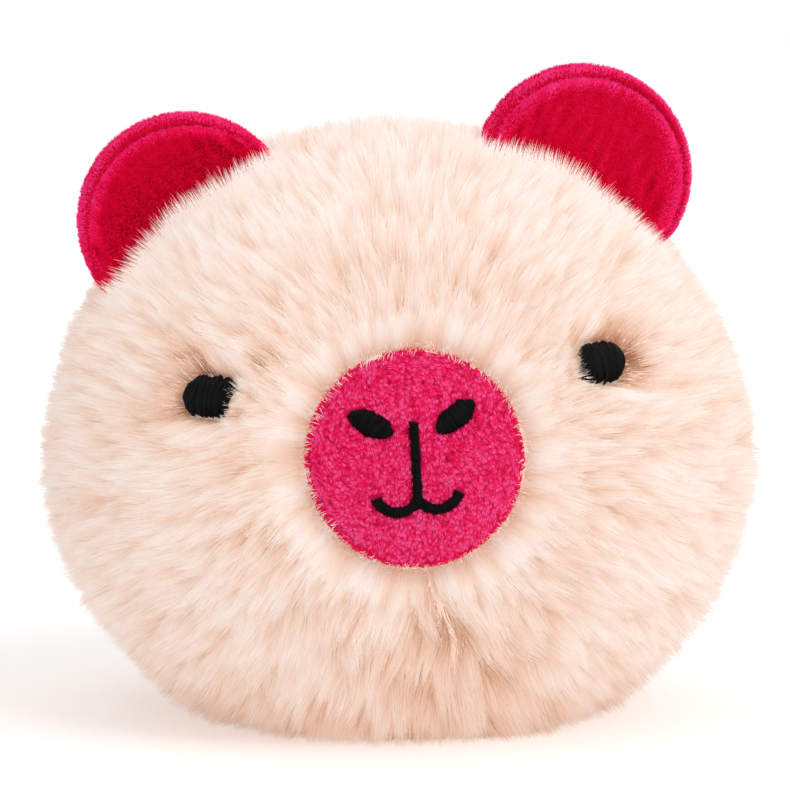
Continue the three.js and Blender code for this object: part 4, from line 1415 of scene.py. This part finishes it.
def ear_pile(ear, section, tint):
    """Short plush over part of an ear's section."""
    radius, thick, turn, away = ear_places(section)
    roots = ear_points(ear, radius, thick, turn)
    spoke = ear.along * np.cos(turn)[:, None] + ear.out * np.sin(turn)[:, None]
    normals = unit(spoke * away[:, :1] + ear.back * away[:, 1:])
    lie = laid(ear.out + EAR_LOOSE * random.normal(size=(EAR_HAIRS, 3)), normals)
    lie = turned(lie, normals, wander(roots, *EAR_SWIRL) + random.normal(0, EAR_TURNS, EAR_HAIRS))
    length = EAR_PILE * random.uniform(*EAR_LENGTHS, EAR_HAIRS)
    length = length * (1 - EAR_RIM_CUT * ramp(*EAR_RIM_ZONE, radius))
    lean = np.full(EAR_HAIRS, EAR_LEAN)
    starts = roots - EAR_SUNK * normals
    paths = grow(starts, normals, lie, length, lean, lean * EAR_CURL, len(EAR_RADII))
    ahead = thick < EAR_BACK
    normals = unit(normals - EAR_FACED * ahead[:, None] * ear.back)
    at_rim = (ramp(*EAR_ROUND_ZONE, radius) * ~ahead)[:, None]
    normals = unit(mix(normals, spoke, EAR_ROUND * at_rim))
    return paths, ear_tints(ear, roots, radius, ahead, tint), normals


def build_ear(side, plush, cloth, thread):
    ear = ears[side]
    line = smooth_line(EAR_SECTION, EAR_STEPS)
    seam = EAR_SEAM_POINT * EAR_STEPS
    made = []
    for part, section, tint in (
        ("front", line[: seam + 1], EAR_FRONT_LIT_TINT[side]),
        ("back", line[seam:], EAR_BACK_LIT_TINT),
    ):
        name = f"ear_{side}_{part}"
        sheet = finish_mesh(ear_panel(name, ear, section, EAR_INSIDE[part]), cloth)
        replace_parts(sheet, f"ear_{side}_wadding")
        paths, tints, facing = ear_pile(ear, section, tint)
        mesh = pile_mesh(f"{name}_pile", paths, EAR_RADII, tints, facing)
        pile = finish_mesh(mesh, plush, sheer=True)
        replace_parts(pile, f"ear_{side}_{part}_panel")
        made += [sheet, pile]
    made.append(ear_stitches(ear, thread))
    for piece in made:
        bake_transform(piece)


def ear_stitches(ear, thread):
    """The row of stitches in the ear's front seam."""
    middle = 2 * math.pi * (np.arange(EAR_STITCHES) + 0.5) / EAR_STITCHES
    middle = middle[np.sin(middle) > EAR_STITCH_LOWEST]
    steps = len(EAR_STITCH_RADII) + 1
    span = np.linspace(-EAR_STITCH_HALF, EAR_STITCH_HALF, steps)
    turn = middle[:, None] + span * EAR_STITCH_PITCH / EAR_SEAM_RADIUS
    thick = EAR_STITCH_PLACE - EAR_STITCH_ARCH * np.cos(np.linspace(-1.4, 1.4, steps))
    thick = np.broadcast_to(thick, turn.shape)
    paths = ear_points(ear, np.full(turn.shape, EAR_SEAM_RADIUS), thick, turn)
    tints = random.uniform(*EAR_STITCH_TINTS, len(paths))
    mesh = tube_mesh(f"ear_{ear.side}_seam_stitches", paths, EAR_STITCH_RADII, tints, sides=6)
    piece = finish_mesh(mesh, thread)
    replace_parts(piece, f"ear_{ear.side}_seam_thread")
    return piece


def build_ears():
    plush = ear_plush()
    cloth = cloth_material("ear_backing", (0.50, 0.001, 0.02), (0.62, 0.003, 0.035), 1500, 0.85, 0.5)
    thread = pink_thread()
    for side in ears:
        build_ear(side, plush, cloth, thread)


# Studio


def aimed(direction):
    """Rotation of a camera or a lamp that looks along a direction."""
    return Vector(direction).to_track_quat("-Z", "Y").to_euler()


def build_camera():
    level = math.cos(VIEW_ELEVATION)
    right = np.array([math.cos(VIEW_AZIMUTH), math.sin(VIEW_AZIMUTH), 0])
    towards = np.array([right[1] * level, -right[0] * level, math.sin(VIEW_ELEVATION)])
    up = np.cross(towards, right)
    side, down = (p - PHOTO_SIDE / 2 for p in HEAD_MIDDLE_PIXEL)
    target = MIDDLE - right * side * PHOTO_PIXEL + up * down * PHOTO_PIXEL
    data = bpy.data.cameras.new("camera")
    data.sensor_width = 36
    data.lens = data.sensor_width * VIEW_DISTANCE / (PHOTO_SIDE * PHOTO_PIXEL)
    data.clip_start = 0.01
    camera = placed("camera", data)
    camera.location = (target + towards * VIEW_DISTANCE) * MM
    camera.rotation_euler = aimed(-towards)
    bpy.context.scene.camera = camera


def worked_out(tree, operation, first, second):
    """A value worked out from another node's value and a second one, which may be a number."""
    node = tree.nodes.new("ShaderNodeMath")
    node.operation = operation
    tree.links.new(first, node.inputs[0])
    if isinstance(second, float):
        node.inputs[1].default_value = second
    else:
        tree.links.new(second, node.inputs[1])
    return node.outputs[0]


def shown_white(tree, strength):
    """A strength for what the camera, a mirror or glass sees, and 0 for other light."""
    path = tree.nodes.new("ShaderNodeLightPath").outputs
    mirrored = worked_out(tree, "MAXIMUM", path["Is Glossy Ray"], path["Is Transmission Ray"])
    seen = worked_out(tree, "MAXIMUM", path["Is Camera Ray"], mirrored)
    return worked_out(tree, "MULTIPLY", seen, strength)


def build_floor():
    """A pale floor that looks white away from the head, and keeps its shadow near it."""
    material, tree, shader = new_material("floor", roughness=0.9, specular=0.25)
    shader.inputs["Base Color"].default_value = (0.92, 0.92, 0.92, 1)
    shader.inputs["Emission Color"].default_value = (1, 1, 1, 1)
    place = tree.nodes.new("ShaderNodeTexCoord")
    away = tree.nodes.new("ShaderNodeVectorMath")
    away.operation = "LENGTH"
    tree.links.new(place.outputs["Object"], away.inputs[0])
    glow = tree.nodes.new("ShaderNodeMapRange")
    for name, value in FLOOR_GLOW.items():
        glow.inputs[name].default_value = value
    tree.links.new(away.outputs["Value"], glow.inputs["Value"])
    tree.links.new(shown_white(tree, glow.outputs["Result"]), shader.inputs["Emission Strength"])
    corners = FLOOR_HALF * np.array([(-1, -1, 0), (1, -1, 0), (1, 1, 0), (-1, 1, 0)])
    mesh = mesh_from("floor", corners, [(0, 1, 2, 3)])
    mesh.materials.append(material)
    placed("floor", mesh)


def build_world():
    world = bpy.data.worlds.new("studio")
    world.use_nodes = True
    tree = world.node_tree
    background = tree.nodes["Background"]
    background.inputs["Color"].default_value = (1, 1, 1, 1)
    strength = worked_out(tree, "ADD", shown_white(tree, 1 - AMBIENT), AMBIENT)
    tree.links.new(strength, background.inputs["Strength"])
    bpy.context.scene.world = world


def build_lamp(name, place, power, size, shadow=True):
    """A soft lamp that faces the head. One without a shadow shines through the fur, as light does
    through its fibres."""
    data = bpy.data.lights.new(name, "AREA")
    data.use_shadow = shadow
    data.energy = power
    data.size = size
    lamp = placed(name, data)
    lamp.location = place
    lamp.rotation_euler = aimed(Vector(MIDDLE * MM) - lamp.location)


def build_studio():
    bpy.context.scene.view_settings.view_transform = "Standard"
    build_camera()
    build_floor()
    build_world()
    build_lamp("key", (0.45, -0.55, 0.75), 2.6, 0.5)
    build_lamp("front", (0.1, -0.95, 0.2), 2.2, 0.8)
    build_lamp("top", (0.0, -0.1, 1.0), 2.2, 0.8)
    build_lamp("left", (-0.9, -0.15, 0.25), 1.0, 0.7, shadow=False)
    build_lamp("right", (0.9, -0.1, 0.2), 0.7, 0.7, shadow=False)
    build_lamp("back_left", (-0.5, 0.75, 0.5), 2.0, 0.7, shadow=False)
    build_lamp("back_right", (0.5, 0.75, 0.5), 2.0, 0.7, shadow=False)


build_studio()
build_fur()
build_muzzle()
build_stitches()
build_ears()
